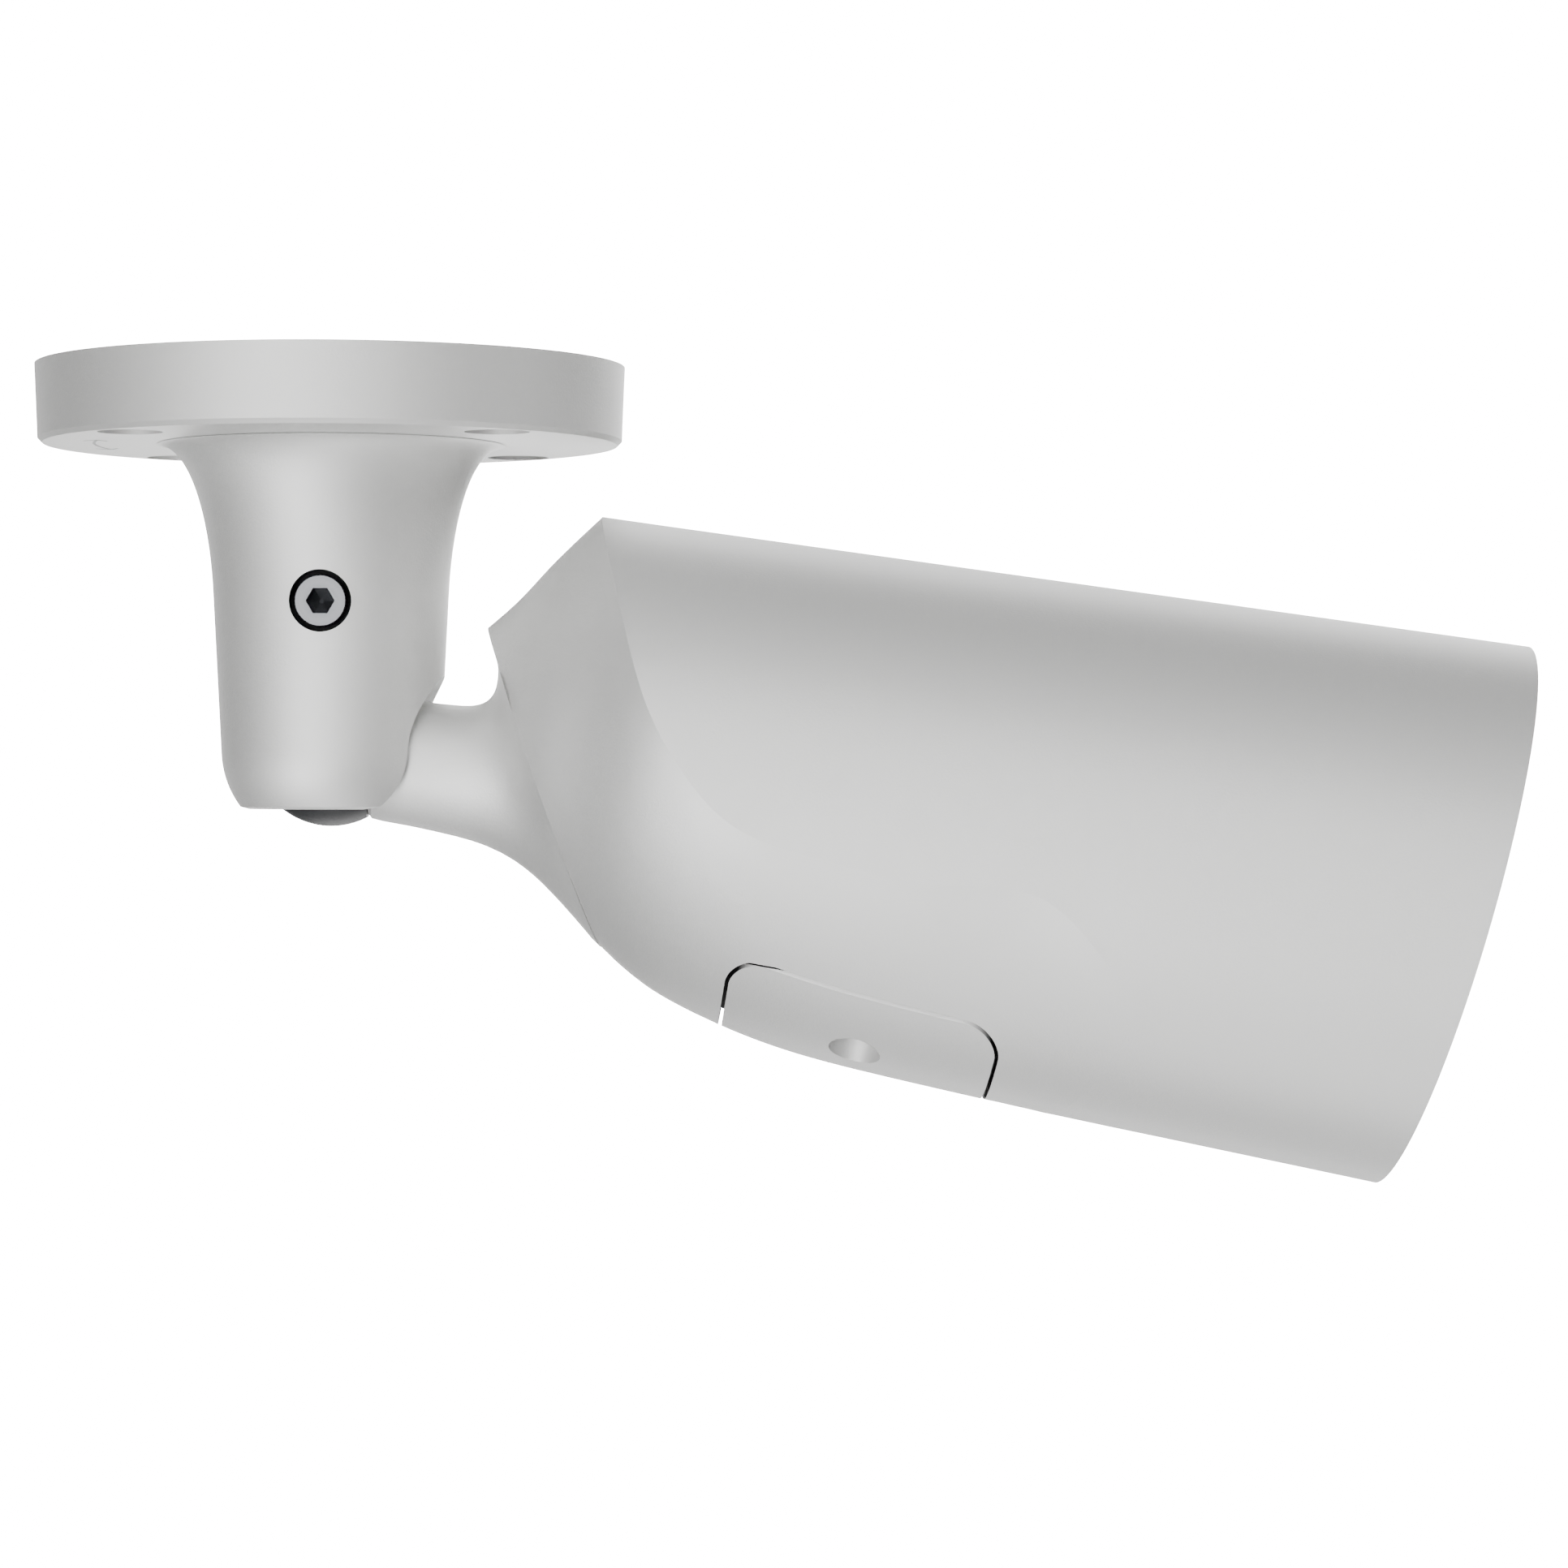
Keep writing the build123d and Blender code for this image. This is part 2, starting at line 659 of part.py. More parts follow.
def housing(form):
    shell = form - cavity_form(WALL)
    shell += cover_prism(FRAME_MARGIN, COVER_BELOW, FRAME_Z1) & form
    shell -= cover_prism(COVER_GAP, COVER_BELOW, FRAME_Z0) - cavity_form(COVER_SKIN + COVER_LIP_GAP)
    shell -= cover_prism(COVER_GAP - COVER_LIP_W, COVER_BELOW, FRAME_Z0)
    shell -= bay_prism(0, COVER_BELOW, FRAME_Z1 + 1)
    for x, y in cover_screw_places():
        shell += upright(BOSS_R, FRAME_Z0 + 1, FRAME_Z1 + BOSS_RISE, x, y)
        shell -= upright(M3_R + STUD_GAP, FRAME_Z0 - 1, FRAME_Z1 + BOSS_RISE + 1, x, y)
    for x, y in service_posts():
        shell += upright(SERVICE_POST_R, FRAME_Z0 + 1, SERVICE_Z0, x, y)
        shell -= upright(M2_R, FRAME_Z1 - SERVICE_TAP, SERVICE_Z0 + 1, x, y)
    seat = along_x(tube_r(SEAT_X0) - WALL + SEAT_LAP, SEAT_X0, SEAT_X1, z=TUBE_Z)
    shell += seat - along_x(SEAT_R, SEAT_X0 - 1, SEAT_X1 + 1, z=TUBE_Z)
    for y, z in on_circle(RETAINER_SCREW_R, 4, 45):
        shell -= along_x(M2_R, SEAT_X0 - FUSE, SEAT_X1 + 1, y, z)
    for side in (-1, 1):
        y = side * REAR_BOSS_Y
        shell += along_x(BOSS_R, CAVITY_START - 2, CHASSIS_REAR_X, y, REAR_BOSS_Z)
        shell -= along_x(M3_R, CHASSIS_REAR_X - CHASSIS_SCREW_L, CHASSIS_REAR_X + 1, y, REAR_BOSS_Z)
    shell -= along_x(STUD_R + STUD_GAP, 0, NECK_BORE_END + 1)
    shell -= along_x(NUT_POCKET_R, NECK_BORE_END, CAVITY_START + 4)
    return shell


def cable_grommet():
    x0 = CAVITY_START - GROMMET_BACK
    x1 = x0 + GROMMET_L
    bush = along_x(NUT_POCKET_R, x0, x1) + along_x(GROMMET_LIP_R, x1, x1 + GROMMET_LIP_L)
    return bush - along_x(GROMMET_HOLE_R, x0 - 1, x1 + GROMMET_LIP_L + 1)


def access_cover(form):
    """Curved lid whose lip rests over the housing's step, with a hollow, a seal ridge and screw columns."""
    cover = form & cover_prism(0, COVER_BELOW, COVER_LAND_Z)
    cover -= cavity_form(COVER_SKIN) - cover_prism(-COVER_LIP_W, COVER_BELOW, COVER_LAND_Z + 1)
    hollow = cover_prism(-COVER_LIP_W - COVER_WALL, COVER_BELOW, COVER_LAND_Z + 1)
    cover -= cavity_form(COVER_SKIN) & hollow
    ridge = bay_prism(RIDGE_W + BAY_CLEAR, COVER_BELOW, RIDGE_Z)
    ridge -= bay_prism(BAY_CLEAR, COVER_BELOW - 1, RIDGE_Z + 1)
    for x, y in cover_screw_places():
        ridge += upright(COVER_SINK_R + COVER_SINK_WALL, COVER_BELOW, COVER_LAND_Z, x, y)
    cover += ridge & form
    for x, y in cover_screw_places():
        cover -= upright(COVER_SINK_R, COVER_BELOW, COVER_SINK_Z, x, y)
        cover -= upright(M3_CLEAR, COVER_BELOW, COVER_LAND_Z + 1, x, y)
    return cover


def cover_seal():
    return bay_prism(RIDGE_W, RIDGE_Z, FRAME_Z0 - SEAL_GAP) - bay_prism(SEAL_IN, RIDGE_Z - 1, FRAME_Z0)


def cover_screws():
    screws = []
    for x, y in cover_screw_places():
        screw = plain_screw(*COVER_SCREW_HEAD, M3_R, COVER_SCREW_L)
        screws.append(Pos(x, y, COVER_SINK_Z - COVER_SCREW_HEAD[1]) * Rot(180, 0, 0) * screw)
    return screws


# Front end


def front_window():
    glass = along_x(WINDOW_R, WINDOW_X0, WINDOW_X1, z=TUBE_Z)
    return chamfer(glass.edges().filter_by(GeomType.CIRCLE), WINDOW_CHAMFER)


def window_seal():
    return ring_x(*WINDOW_SEAL_R, SEAT_X1, WINDOW_X0)


def window_retainer():
    ring = ring_x(RETAINER_R, RETAINER_IN_R, WINDOW_X1, RETAINER_X1)
    ring += ring_x(RETAINER_SKIRT_R, WINDOW_R + WINDOW_SIDE_GAP, SEAT_X1, WINDOW_X1)
    for y, z in on_circle(RETAINER_SCREW_R, 4, 45):
        ring -= along_x(M2_CLEAR, SEAT_X1 - 1, RETAINER_X1 + 1, y, z)
    return ring


def retainer_screws():
    screws = []
    for y, z in on_circle(RETAINER_SCREW_R, 4, 45):
        screw = plain_screw(*RETAINER_SCREW_HEAD, M2_R, RETAINER_SCREW_L)
        screws.append(Pos(RETAINER_X1 + RETAINER_SCREW_HEAD[1], y, z) * Rot(0, 90, 0) * screw)
    return screws


def front_mask():
    inner = HOOD_R + MASK_GAP
    mask = ring_x(MASK_R, inner, MASK_X0, MASK_X1)
    mask += ring_x(inner + MASK_COLLAR_T, inner, MASK_X0 - MASK_COLLAR_L, MASK_X0 + FUSE)
    for y, z in on_circle(LED_CIRCLE_R, LED_COUNT, 45):
        mask -= along_x(OPTIC_R + OPTIC_GAP, MASK_X0 - 1, MASK_X1 + 1, y, z)
    for y, z in on_circle(PILLAR_CIRCLE_R, 4, 0):
        mask += along_x(MASK_PILLAR_R, LED_BOARD_X0 + BOARD_T, MASK_X0 + FUSE, y, z)
    return mask - along_x(LIGHT_HOLE_R, MASK_X0 - 1, MASK_X1 + 1, 0, TUBE_Z - LED_CIRCLE_R)


def led_board():
    board = ring_x(*LED_BOARD_R, LED_BOARD_X0, LED_BOARD_X0 + BOARD_T)
    for y, z in on_circle(PILLAR_CIRCLE_R, 4, PILLAR_START):
        board -= along_x(M2_CLEAR, LED_BOARD_X0 - 1, LED_BOARD_X0 + BOARD_T + 1, y, z)
    return board


def led_screws():
    screws = []
    for y, z in on_circle(PILLAR_CIRCLE_R, 4, PILLAR_START):
        screw = plain_screw(*M2_HEAD, M2_R, LED_SCREW_L)
        screws.append(Pos(LED_BOARD_X0 + BOARD_T + M2_HEAD[1], y, z) * Rot(0, 90, 0) * screw)
    return screws


def ir_leds():
    leds = []
    x0 = LED_BOARD_X0 + BOARD_T
    for y, z in on_circle(LED_CIRCLE_R, LED_COUNT, 45):
        led = block(x0, x0 + LED_H, y - LED_HALF, y + LED_HALF, z - LED_HALF, z + LED_HALF)
        leds.append(led + Pos(x0 + LED_DOME_R, y, z) * Sphere(LED_DOME_R))
    return leds


def led_optics():
    x0 = LED_BOARD_X0 + BOARD_T
    rim_x = x0 + OPTIC_LIFT
    well_r, well_x = OPTIC_WELL
    half, near, far = OPTIC_FOOT
    optics = []
    for y, z in on_circle(LED_CIRCLE_R, LED_COUNT, 45):
        cup = spin([
            (OPTIC_THROAT_R[0], rim_x),
            (OPTIC_THROAT_R[1], rim_x),
            (OPTIC_WAIST[0], x0 + OPTIC_WAIST[1]),
            (OPTIC_R, x0 + OPTIC_SHOULDER),
            (OPTIC_R, MASK_X1),
            (0, MASK_X1),
            (0, x0 + well_x),
            (well_r, x0 + well_x),
        ])
        cup = Pos(0, y, z) * Rot(0, 90, 0) * cup
        foot = block(x0, x0 + OPTIC_FOOT_H, -half, half, near, far)
        for turn in (0, 90, 180, 270):
            cup += Pos(0, y, z) * Rot(turn, 0, 0) * foot
        optics.append(cup)
    return optics


def light_sensor():
    z = TUBE_Z - LED_CIRCLE_R
    x0 = LED_BOARD_X0 + BOARD_T
    can_r, can_h = LIGHT_CAN
    return along_x(can_r, x0, x0 + can_h, 0, z) + along_x(LIGHT_PIPE_R, x0, MASK_X1 - LIGHT_PIPE_SET, 0, z)


# Lens, filter and sensor


def lens_barrel():
    cell_x = HOLDER_X1 + REAR_CELL_L
    seat_x = HOOD_X0 - STEP_L
    return turned_x([
        (THREAD_BORE_R, THREAD_X0),
        (THREAD_R, THREAD_X0),
        (THREAD_R, HOLDER_X1),
        (BARREL_R, HOLDER_X1),
        (BARREL_R, seat_x),
        (HOOD_R, HOOD_X0),
        (HOOD_R, HOOD_X1),
        (HOOD_R - HOOD_LIP, HOOD_X1),
        (LENS_SEAT_R, HOOD_X1 - HOOD_DEPTH),
        (LENS_SEAT_R, seat_x),
        (BARREL_BORE_R[1], seat_x),
        (BARREL_BORE_R[0], cell_x),
        (THREAD_BORE_R, cell_x),
    ])


def domed(radius, x0, x1, dome_r):
    """Lens with a flat back at x0 and a domed front that ends at x1."""
    centre = x1 - dome_r
    sweep = math.asin(radius / dome_r)
    edge = (radius, centre + dome_r * math.cos(sweep))
    middle = (dome_r * math.sin(sweep / 2), centre + dome_r * math.cos(sweep / 2))
    sides = Polyline((0, x1), (0, x0), (radius, x0), edge)
    profile = make_face([sides, ThreePointArc(edge, middle, (0, x1))])
    return Pos(0, 0, TUBE_Z) * Rot(0, 90, 0) * revolve(Plane.XZ * profile, Axis.Z)


def lens_front_element():
    x0 = HOOD_X0 - STEP_L
    return domed(FRONT_LENS_R, x0, x0 + FRONT_LENS_T, FRONT_LENS_DOME_R)


def lens_rear_element():
    x0 = THREAD_X0 + STEP_L
    return domed(REAR_LENS_R, x0, x0 + REAR_LENS_T, REAR_LENS_DOME_R)


def lens_holder():
    low = TUBE_Z - HOLDER_HALF_Z
    past = HOLDER_HALF_Y + 1
    holder = block(HOLDER_X0, HOLDER_X1, -HOLDER_HALF_Y, HOLDER_HALF_Y, low, TRAY_Z0)
    notch_l, notch_y, notch_top = HOLDER_NOTCH
    for y0, y1 in ((notch_y, past), (-past, -notch_y)):
        holder -= block(HOLDER_X1 - notch_l, HOLDER_X1 + 1, y0, y1, low - 1, TRAY_Z0 - notch_top)
    holder -= along_x(THREAD_R + STUD_GAP, HOLDER_THREAD_X, HOLDER_X1 + 1, z=TUBE_Z)
    holder -= along_x(HOLDER_LIGHT_R, HOLDER_X0, HOLDER_THREAD_X + 1, z=TUBE_Z)
    deep, half_y, half_z = SENSOR_POCKET
    holder -= block(HOLDER_X0 - 1, HOLDER_X0 + deep, -half_y, half_y, TUBE_Z - half_z, TUBE_Z + half_z)
    reach = FILTER_HALF_Z + FILTER_GAP
    slot_x0 = FILTER_X0 - FILTER_GAP
    slot_x1 = FILTER_X0 + FILTER_T + FILTER_GAP
    holder -= block(slot_x0, slot_x1, -past, past, TUBE_Z - reach, TUBE_Z + reach)
    for x, y in holder_screw_places():
        holder -= upright(M2_R, TRAY_Z0 - HOLDER_TAP, TRAY_Z0 + 1, x, y)
    for y, z in sensor_screw_places():
        holder -= along_x(M2_R, HOLDER_X0 - 1, HOLDER_X0 + SENSOR_TAP, y, z)
    return holder


def holder_screw_places():
    return [(HOLDER_SCREW_X, side * HOLDER_SCREW_Y) for side in (-1, 1)]


def sensor_screw_places():
    return [(side * SENSOR_SCREW_Y, TUBE_Z + rise * SENSOR_SCREW_Z) for side in (-1, 1) for rise in (-1, 1)]


def holder_screws():
    top = TRAY_Z0 + TRAY_T + M2_HEAD[1]
    return [Pos(x, y, top) * plain_screw(*M2_HEAD, M2_R, HOLDER_SCREW_L) for x, y in holder_screw_places()]


def filter_slide():
    y0 = -FILTER_HALF_Z
    y1 = FILTER_PITCH + FILTER_HALF_Z
    slide = block(FILTER_X0, FILTER_X0 + FILTER_T, y0, y1, TUBE_Z - FILTER_HALF_Z, TUBE_Z + FILTER_HALF_Z)
    for y in (0, FILTER_PITCH):
        slide -= along_x(FILTER_R, FILTER_X0 - 1, FILTER_X0 + FILTER_T + 1, y, TUBE_Z)
    return slide


def filter_glass():
    x0 = FILTER_X0 + (FILTER_T - FILTER_GLASS_T) / 2
    return [along_x(FILTER_R, x0, x0 + FILTER_GLASS_T, y, TUBE_Z) for y in (0, FILTER_PITCH)]


def image_sensor():
    deep, half_y, half_z = SENSOR_SIZE
    sunk, glass_y, glass_z = SENSOR_WINDOW
    chip = block(HOLDER_X0, HOLDER_X0 + deep, -half_y, half_y, TUBE_Z - half_z, TUBE_Z + half_z)
    x0 = HOLDER_X0 + sunk
    return chip - block(x0, x0 + deep, -glass_y, glass_y, TUBE_Z - glass_z, TUBE_Z + glass_z)


def sensor_board():
    x0 = HOLDER_X0 - BOARD_T
    low = TUBE_Z - HOLDER_HALF_Z
    board = block(x0, HOLDER_X0, -HOLDER_HALF_Y, HOLDER_HALF_Y, low, TRAY_Z0 - SENSOR_BOARD_GAP)
    for y, z in sensor_screw_places():
        board -= along_x(M2_CLEAR, x0 - 1, HOLDER_X0 + 1, y, z)
    return board


def sensor_screws():
    screws = []
    for y, z in sensor_screw_places():
        screw = plain_screw(*M2_HEAD, M2_R, SENSOR_SCREW_L)
        screws.append(Pos(HOLDER_X0 - BOARD_T - M2_HEAD[1], y, z) * Rot(0, -90, 0) * screw)
    return screws


# Chassis and boards


def standoff_places():
    for x in (MAIN_X0 + STANDOFF_IN, MAIN_X1 - STANDOFF_IN):
        for y in (STANDOFF_IN - MAIN_HALF_Y, MAIN_HALF_Y - STANDOFF_IN):
            yield x, y


def chassis():
    front_x1 = CHASSIS_FRONT_X + CHASSIS_T
    rear_x1 = CHASSIS_REAR_X + CHASSIS_T
    top = TRAY_Z0 + TRAY_T
    frame = block(CHASSIS_REAR_X, CHASSIS_FRONT_X + 1, -TRAY_HALF_Y, TRAY_HALF_Y, TRAY_Z0, top)
    frame += block(CHASSIS_REAR_X, rear_x1, -TRAY_HALF_Y, TRAY_HALF_Y, CHASSIS_REAR_LOW, top)
    frame += ring_x(CHASSIS_FRONT_R, CHASSIS_HOLE_R, CHASSIS_FRONT_X, front_x1)
    for side in (-1, 1):
        y = side * (TRAY_HALF_Y - WEB_IN)
        web = Plane.XZ.offset(-y) * make_face(Polyline(
            (CHASSIS_FRONT_X - WEB_L, TRAY_Z0),
            (CHASSIS_FRONT_X + FUSE, TRAY_Z0),
            (CHASSIS_FRONT_X + FUSE, TUBE_Z - WEB_DROP),
            close=True,
        ))
        frame += extrude(web, WEB_HALF, both=True)
    for y, z in on_circle(PILLAR_CIRCLE_R, 4, PILLAR_START):
        frame += along_x(PILLAR_R, front_x1 - FUSE, LED_BOARD_X0, y, z)
        frame -= along_x(M2_R, LED_BOARD_X0 - LED_SCREW_L, LED_BOARD_X0 + 1, y, z)
    for x, y in standoff_places():
        frame += upright(STANDOFF_R, TRAY_Z0 - STANDOFF_H, TRAY_Z0 + FUSE, x, y)
        frame -= upright(M2_R, TRAY_Z0 - STANDOFF_H - 1, top - STANDOFF_SKIN, x, y)
    for x, y in holder_screw_places():
        frame -= upright(M2_CLEAR, TRAY_Z0 - 1, top + 1, x, y)
    for side in (-1, 1):
        frame -= along_x(M3_CLEAR, CHASSIS_REAR_X - 1, rear_x1 + 1, side * REAR_BOSS_Y, REAR_BOSS_Z)
    return frame


def chassis_screws():
    screws = []
    x = CHASSIS_REAR_X + CHASSIS_T + M3_HEAD[1]
    for side in (-1, 1):
        screw = plain_screw(*M3_HEAD, M3_R, CHASSIS_SCREW_L)
        screws.append(Pos(x, side * REAR_BOSS_Y, REAR_BOSS_Z) * Rot(0, 90, 0) * screw)
    return screws


def main_level():
    return TRAY_Z0 - STANDOFF_H - BOARD_T


def main_board():
    z0 = main_level()
    board = block(MAIN_X0 + MAIN_REAR_GAP, MAIN_X1, -MAIN_HALF_Y, MAIN_HALF_Y, z0, z0 + BOARD_T)
    for x, y in standoff_places():
        board -= upright(M2_CLEAR, z0 - 1, z0 + BOARD_T + 1, x, y)
    return board


def board_screws():
    z = main_level() - M2_HEAD[1]
    screw = Rot(180, 0, 0) * plain_screw(*M2_HEAD, M2_R, BOARD_SCREW_L)
    return [Pos(x, y, z) * screw for x, y in standoff_places()]


def main_chips():
    low = main_level()
    top = low + BOARD_T
    x0, x1, half = PROCESSOR
    chips = [block(x0, x1, -half, half, top, top + PROCESSOR_H)]
    near, far = MEMORY_Y
    for y0, y1 in ((-far, -near), (near, far)):
        chips.append(block(*MEMORY_X, y0, y1, low - MEMORY_H, low))
    chips.append(block(*NETWORK_CHIP, low - NETWORK_H, low))
    return chips


def thermal_pad():
    x0, x1, half = PROCESSOR
    return block(x0, x1, -half, half, main_level() + BOARD_T + PROCESSOR_H, TRAY_Z0)


def power_parts():
    low = main_level()
    x0, x1 = CORE_X
    half, deep, shallow = CORE_SLOT
    core = block(x0, x1, -CORE_HALF_Y, CORE_HALF_Y, low - CORE_H, low)
    parts = [core - block(x0 - 1, x1 + 1, -half, half, low - deep, low - shallow)]
    for side in (-1, 1):
        parts.append(upright(CAN_R, low - CAN_H, low, CAN_X, side * CAN_Y))
    return parts


def cable_header():
    low = main_level()
    x0, x1 = HEADER_X
    y0, y1 = HEADER_Y
    wall = HEADER_WALL
    header = block(x0, x1, y0, y1, low - HEADER_H, low)
    return header - block(x0 - 1, x1 - wall, y0 + wall, y1 - wall, low - HEADER_H + wall, low - wall)


# Service bay


def service_board():
    z1 = SERVICE_Z0 + BOARD_T
    board = block(SERVICE_X0, SERVICE_X1, -SERVICE_HALF_Y, SERVICE_HALF_Y, SERVICE_Z0, z1)
    for x, y in service_posts():
        board -= upright(M2_CLEAR, SERVICE_Z0 - 1, z1 + 1, x, y)
    return board


def service_screws():
    top = SERVICE_Z0 + BOARD_T + M2_HEAD[1]
    return [Pos(x, y, top) * plain_screw(*M2_HEAD, M2_R, SERVICE_SCREW_L) for x, y in service_posts()]


def card_socket():
    half = CARD_W / 2 + SOCKET_SIDE
    gap = CARD_W / 2 + SOCKET_SKIN
    end = CARD_X0 + CARD_L
    body = block(SOCKET_X0, end + SOCKET_END, -half, half, SERVICE_Z0 - SOCKET_H, SERVICE_Z0)
    low = SERVICE_Z0 - SOCKET_H + SOCKET_SKIN
    return body - block(CARD_X0, end + SOCKET_SKIN, -gap, gap, low, SERVICE_Z0 - SOCKET_SKIN)


def memory_card():
    z0 = SERVICE_Z0 - (SOCKET_H + CARD_T) / 2
    half = CARD_W / 2
    end = CARD_X0 + CARD_L
    notch_l, notch_w = CARD_NOTCH
    card = block(CARD_X0, end, -half, half, z0, z0 + CARD_T)
    return card - block(end - notch_l, end + 1, half - notch_w, half + 1, z0 - 1, z0 + CARD_T + 1)


def button_switch():
    half = SWITCH_HALF
    z0 = SERVICE_Z0 - SWITCH_H
    well_r, floor = SWITCH_WELL
    body = block(BUTTON_X - half, BUTTON_X + half, BUTTON_Y - half, BUTTON_Y + half, z0, SERVICE_Z0)
    return body - upright(well_r, z0 - 1, SERVICE_Z0 - floor, BUTTON_X, BUTTON_Y)


def control_button():
    cap = upright(CAP_R, SERVICE_Z0 - CAP_Z[0], SERVICE_Z0 - CAP_Z[1], BUTTON_X, BUTTON_Y)
    cap = chamfer(cap.edges().group_by(Axis.Z)[0], CAP_CHAMFER)
    return cap + upright(STEM_R, SERVICE_Z0 - STEM_Z[0], SERVICE_Z0 - STEM_Z[1], BUTTON_X, BUTTON_Y)


def status_led():
    half_x, half_y = STATUS_HALF
    dome_r, dome_h = STATUS_DOME
    z0 = SERVICE_Z0 - STATUS_H
    lamp = block(BUTTON_X - half_x, BUTTON_X + half_x, STATUS_Y - half_y, STATUS_Y + half_y, z0, SERVICE_Z0)
    return lamp + upright(dome_r, SERVICE_Z0 - dome_h, SERVICE_Z0, BUTTON_X, STATUS_Y)


def placed(shape):
    """A head piece, or a group of them, set at the head's place under the post."""
    if isinstance(shape, list):
        return Compound(children=[HEAD * each for each in shape])
    return HEAD * shape


def main():
    os.makedirs("parts", exist_ok=True)
    form = head_form()
    bracket = {
        "base_plate": base_plate(),
        "base_seal": base_seal(),
        "pan_washer": pan_washer(),
        "pan_ring": pan_ring(),
        "pan_screws": Compound(children=pan_screws()),
        "post": post(),
        "pressure_piece": pressure_piece(),
        "lock_screw": lock_screw(),
    }
    head = {
        "ball_stud": ball_stud(),
        "stud_washer": stud_washer(),
        "stud_nut": stud_nut(),
        "housing": housing(form),
        "cable_grommet": cable_grommet(),
        "access_cover": access_cover(form),
        "cover_seal": cover_seal(),
        "cover_screws": cover_screws(),
        "front_window": front_window(),
        "window_seal": window_seal(),
        "window_retainer": window_retainer(),
        "retainer_screws": retainer_screws(),
        "front_mask": front_mask(),
        "led_board": led_board(),
        "led_screws": led_screws(),
        "ir_leds": ir_leds(),
        "led_optics": led_optics(),
        "light_sensor": light_sensor(),
        "lens_barrel": lens_barrel(),
        "lens_front_element": lens_front_element(),
        "lens_rear_element": lens_rear_element(),
        "lens_holder": lens_holder(),
        "holder_screws": holder_screws(),
        "filter_slide": filter_slide(),
        "filter_glass": filter_glass(),
        "image_sensor": image_sensor(),
        "sensor_board": sensor_board(),
        "sensor_screws": sensor_screws(),
        "chassis": chassis(),
        "chassis_screws": chassis_screws(),
        "main_board": main_board(),
        "board_screws": board_screws(),
        "main_chips": main_chips(),
        "thermal_pad": thermal_pad(),
        "power_parts": power_parts(),
        "cable_header": cable_header(),
        "service_board": service_board(),
        "service_screws": service_screws(),
        "card_socket": card_socket(),
        "memory_card": memory_card(),
        "button_switch": button_switch(),
        "control_button": control_button(),
        "status_led": status_led(),
    }
    for node, shape in bracket.items():
        export_step(shape, f"parts/{node}.step")
    for node, shape in head.items():
        export_step(placed(shape), f"parts/{node}.step")


main()
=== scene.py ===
import math

import bmesh
import bpy
from bpy.props import FloatProperty, FloatVectorProperty, IntProperty, PointerProperty
from mathutils import Matrix, Vector


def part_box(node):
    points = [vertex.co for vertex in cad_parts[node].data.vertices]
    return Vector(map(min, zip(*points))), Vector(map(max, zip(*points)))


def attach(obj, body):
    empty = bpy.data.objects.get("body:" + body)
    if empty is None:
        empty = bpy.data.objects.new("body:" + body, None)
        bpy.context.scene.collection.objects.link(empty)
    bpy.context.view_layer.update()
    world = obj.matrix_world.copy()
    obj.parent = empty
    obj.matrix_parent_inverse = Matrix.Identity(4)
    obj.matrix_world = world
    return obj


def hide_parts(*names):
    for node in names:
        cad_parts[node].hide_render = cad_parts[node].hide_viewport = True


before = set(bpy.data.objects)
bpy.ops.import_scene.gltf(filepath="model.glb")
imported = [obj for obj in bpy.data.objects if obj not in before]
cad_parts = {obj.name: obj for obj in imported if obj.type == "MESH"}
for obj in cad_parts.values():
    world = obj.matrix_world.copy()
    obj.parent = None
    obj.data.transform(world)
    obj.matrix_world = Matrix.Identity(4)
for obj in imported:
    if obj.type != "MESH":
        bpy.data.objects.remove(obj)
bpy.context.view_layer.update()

bl_info = {
    "name": "Ceiling security camera",
    "version": (1, 0, 0),
    "blender": (4, 5, 0),
    "location": "View3D > Sidebar > Camera",
    "description": "Finishes and small parts of a bullet security camera on a ceiling bracket",
    "category": "Object",
}

# Places and sizes that follow the part, in metres, or in millimetres where the name ends in _MM

MM = 0.001
HEAD_TILT = math.radians(9.94)
BALL_Z = -64.9 * MM
TUBE_Z_MM = 4.87
HEAD = Matrix.Translation((0, 0, BALL_Z)) @ Matrix.Rotation(HEAD_TILT, 4, "Y")
HEAD_ALONG = HEAD.to_3x3() @ Vector((1, 0, 0))
HEAD_UP = HEAD.to_3x3() @ Vector((0, 0, 1))
LOCK_Z = -40.5 * MM
LOCK_FACE_Y = -19.3 * MM
LOCK_SINK_R = 5.15 * MM
LOCK_SINK_BACK_Y = -12 * MM
COVER_MIDDLE = 96.3 * MM
COVER_HALF_X = 22.7 * MM
COVER_HALF_Y = 30.6 * MM
COVER_CORNER = 6.0 * MM
COVER_GAP = 0.6 * MM
COVER_FADE = 0.4 * COVER_CORNER
COVER_TOP = -15 * MM
WALL_SLACK = 0.03 * MM

# Small screws

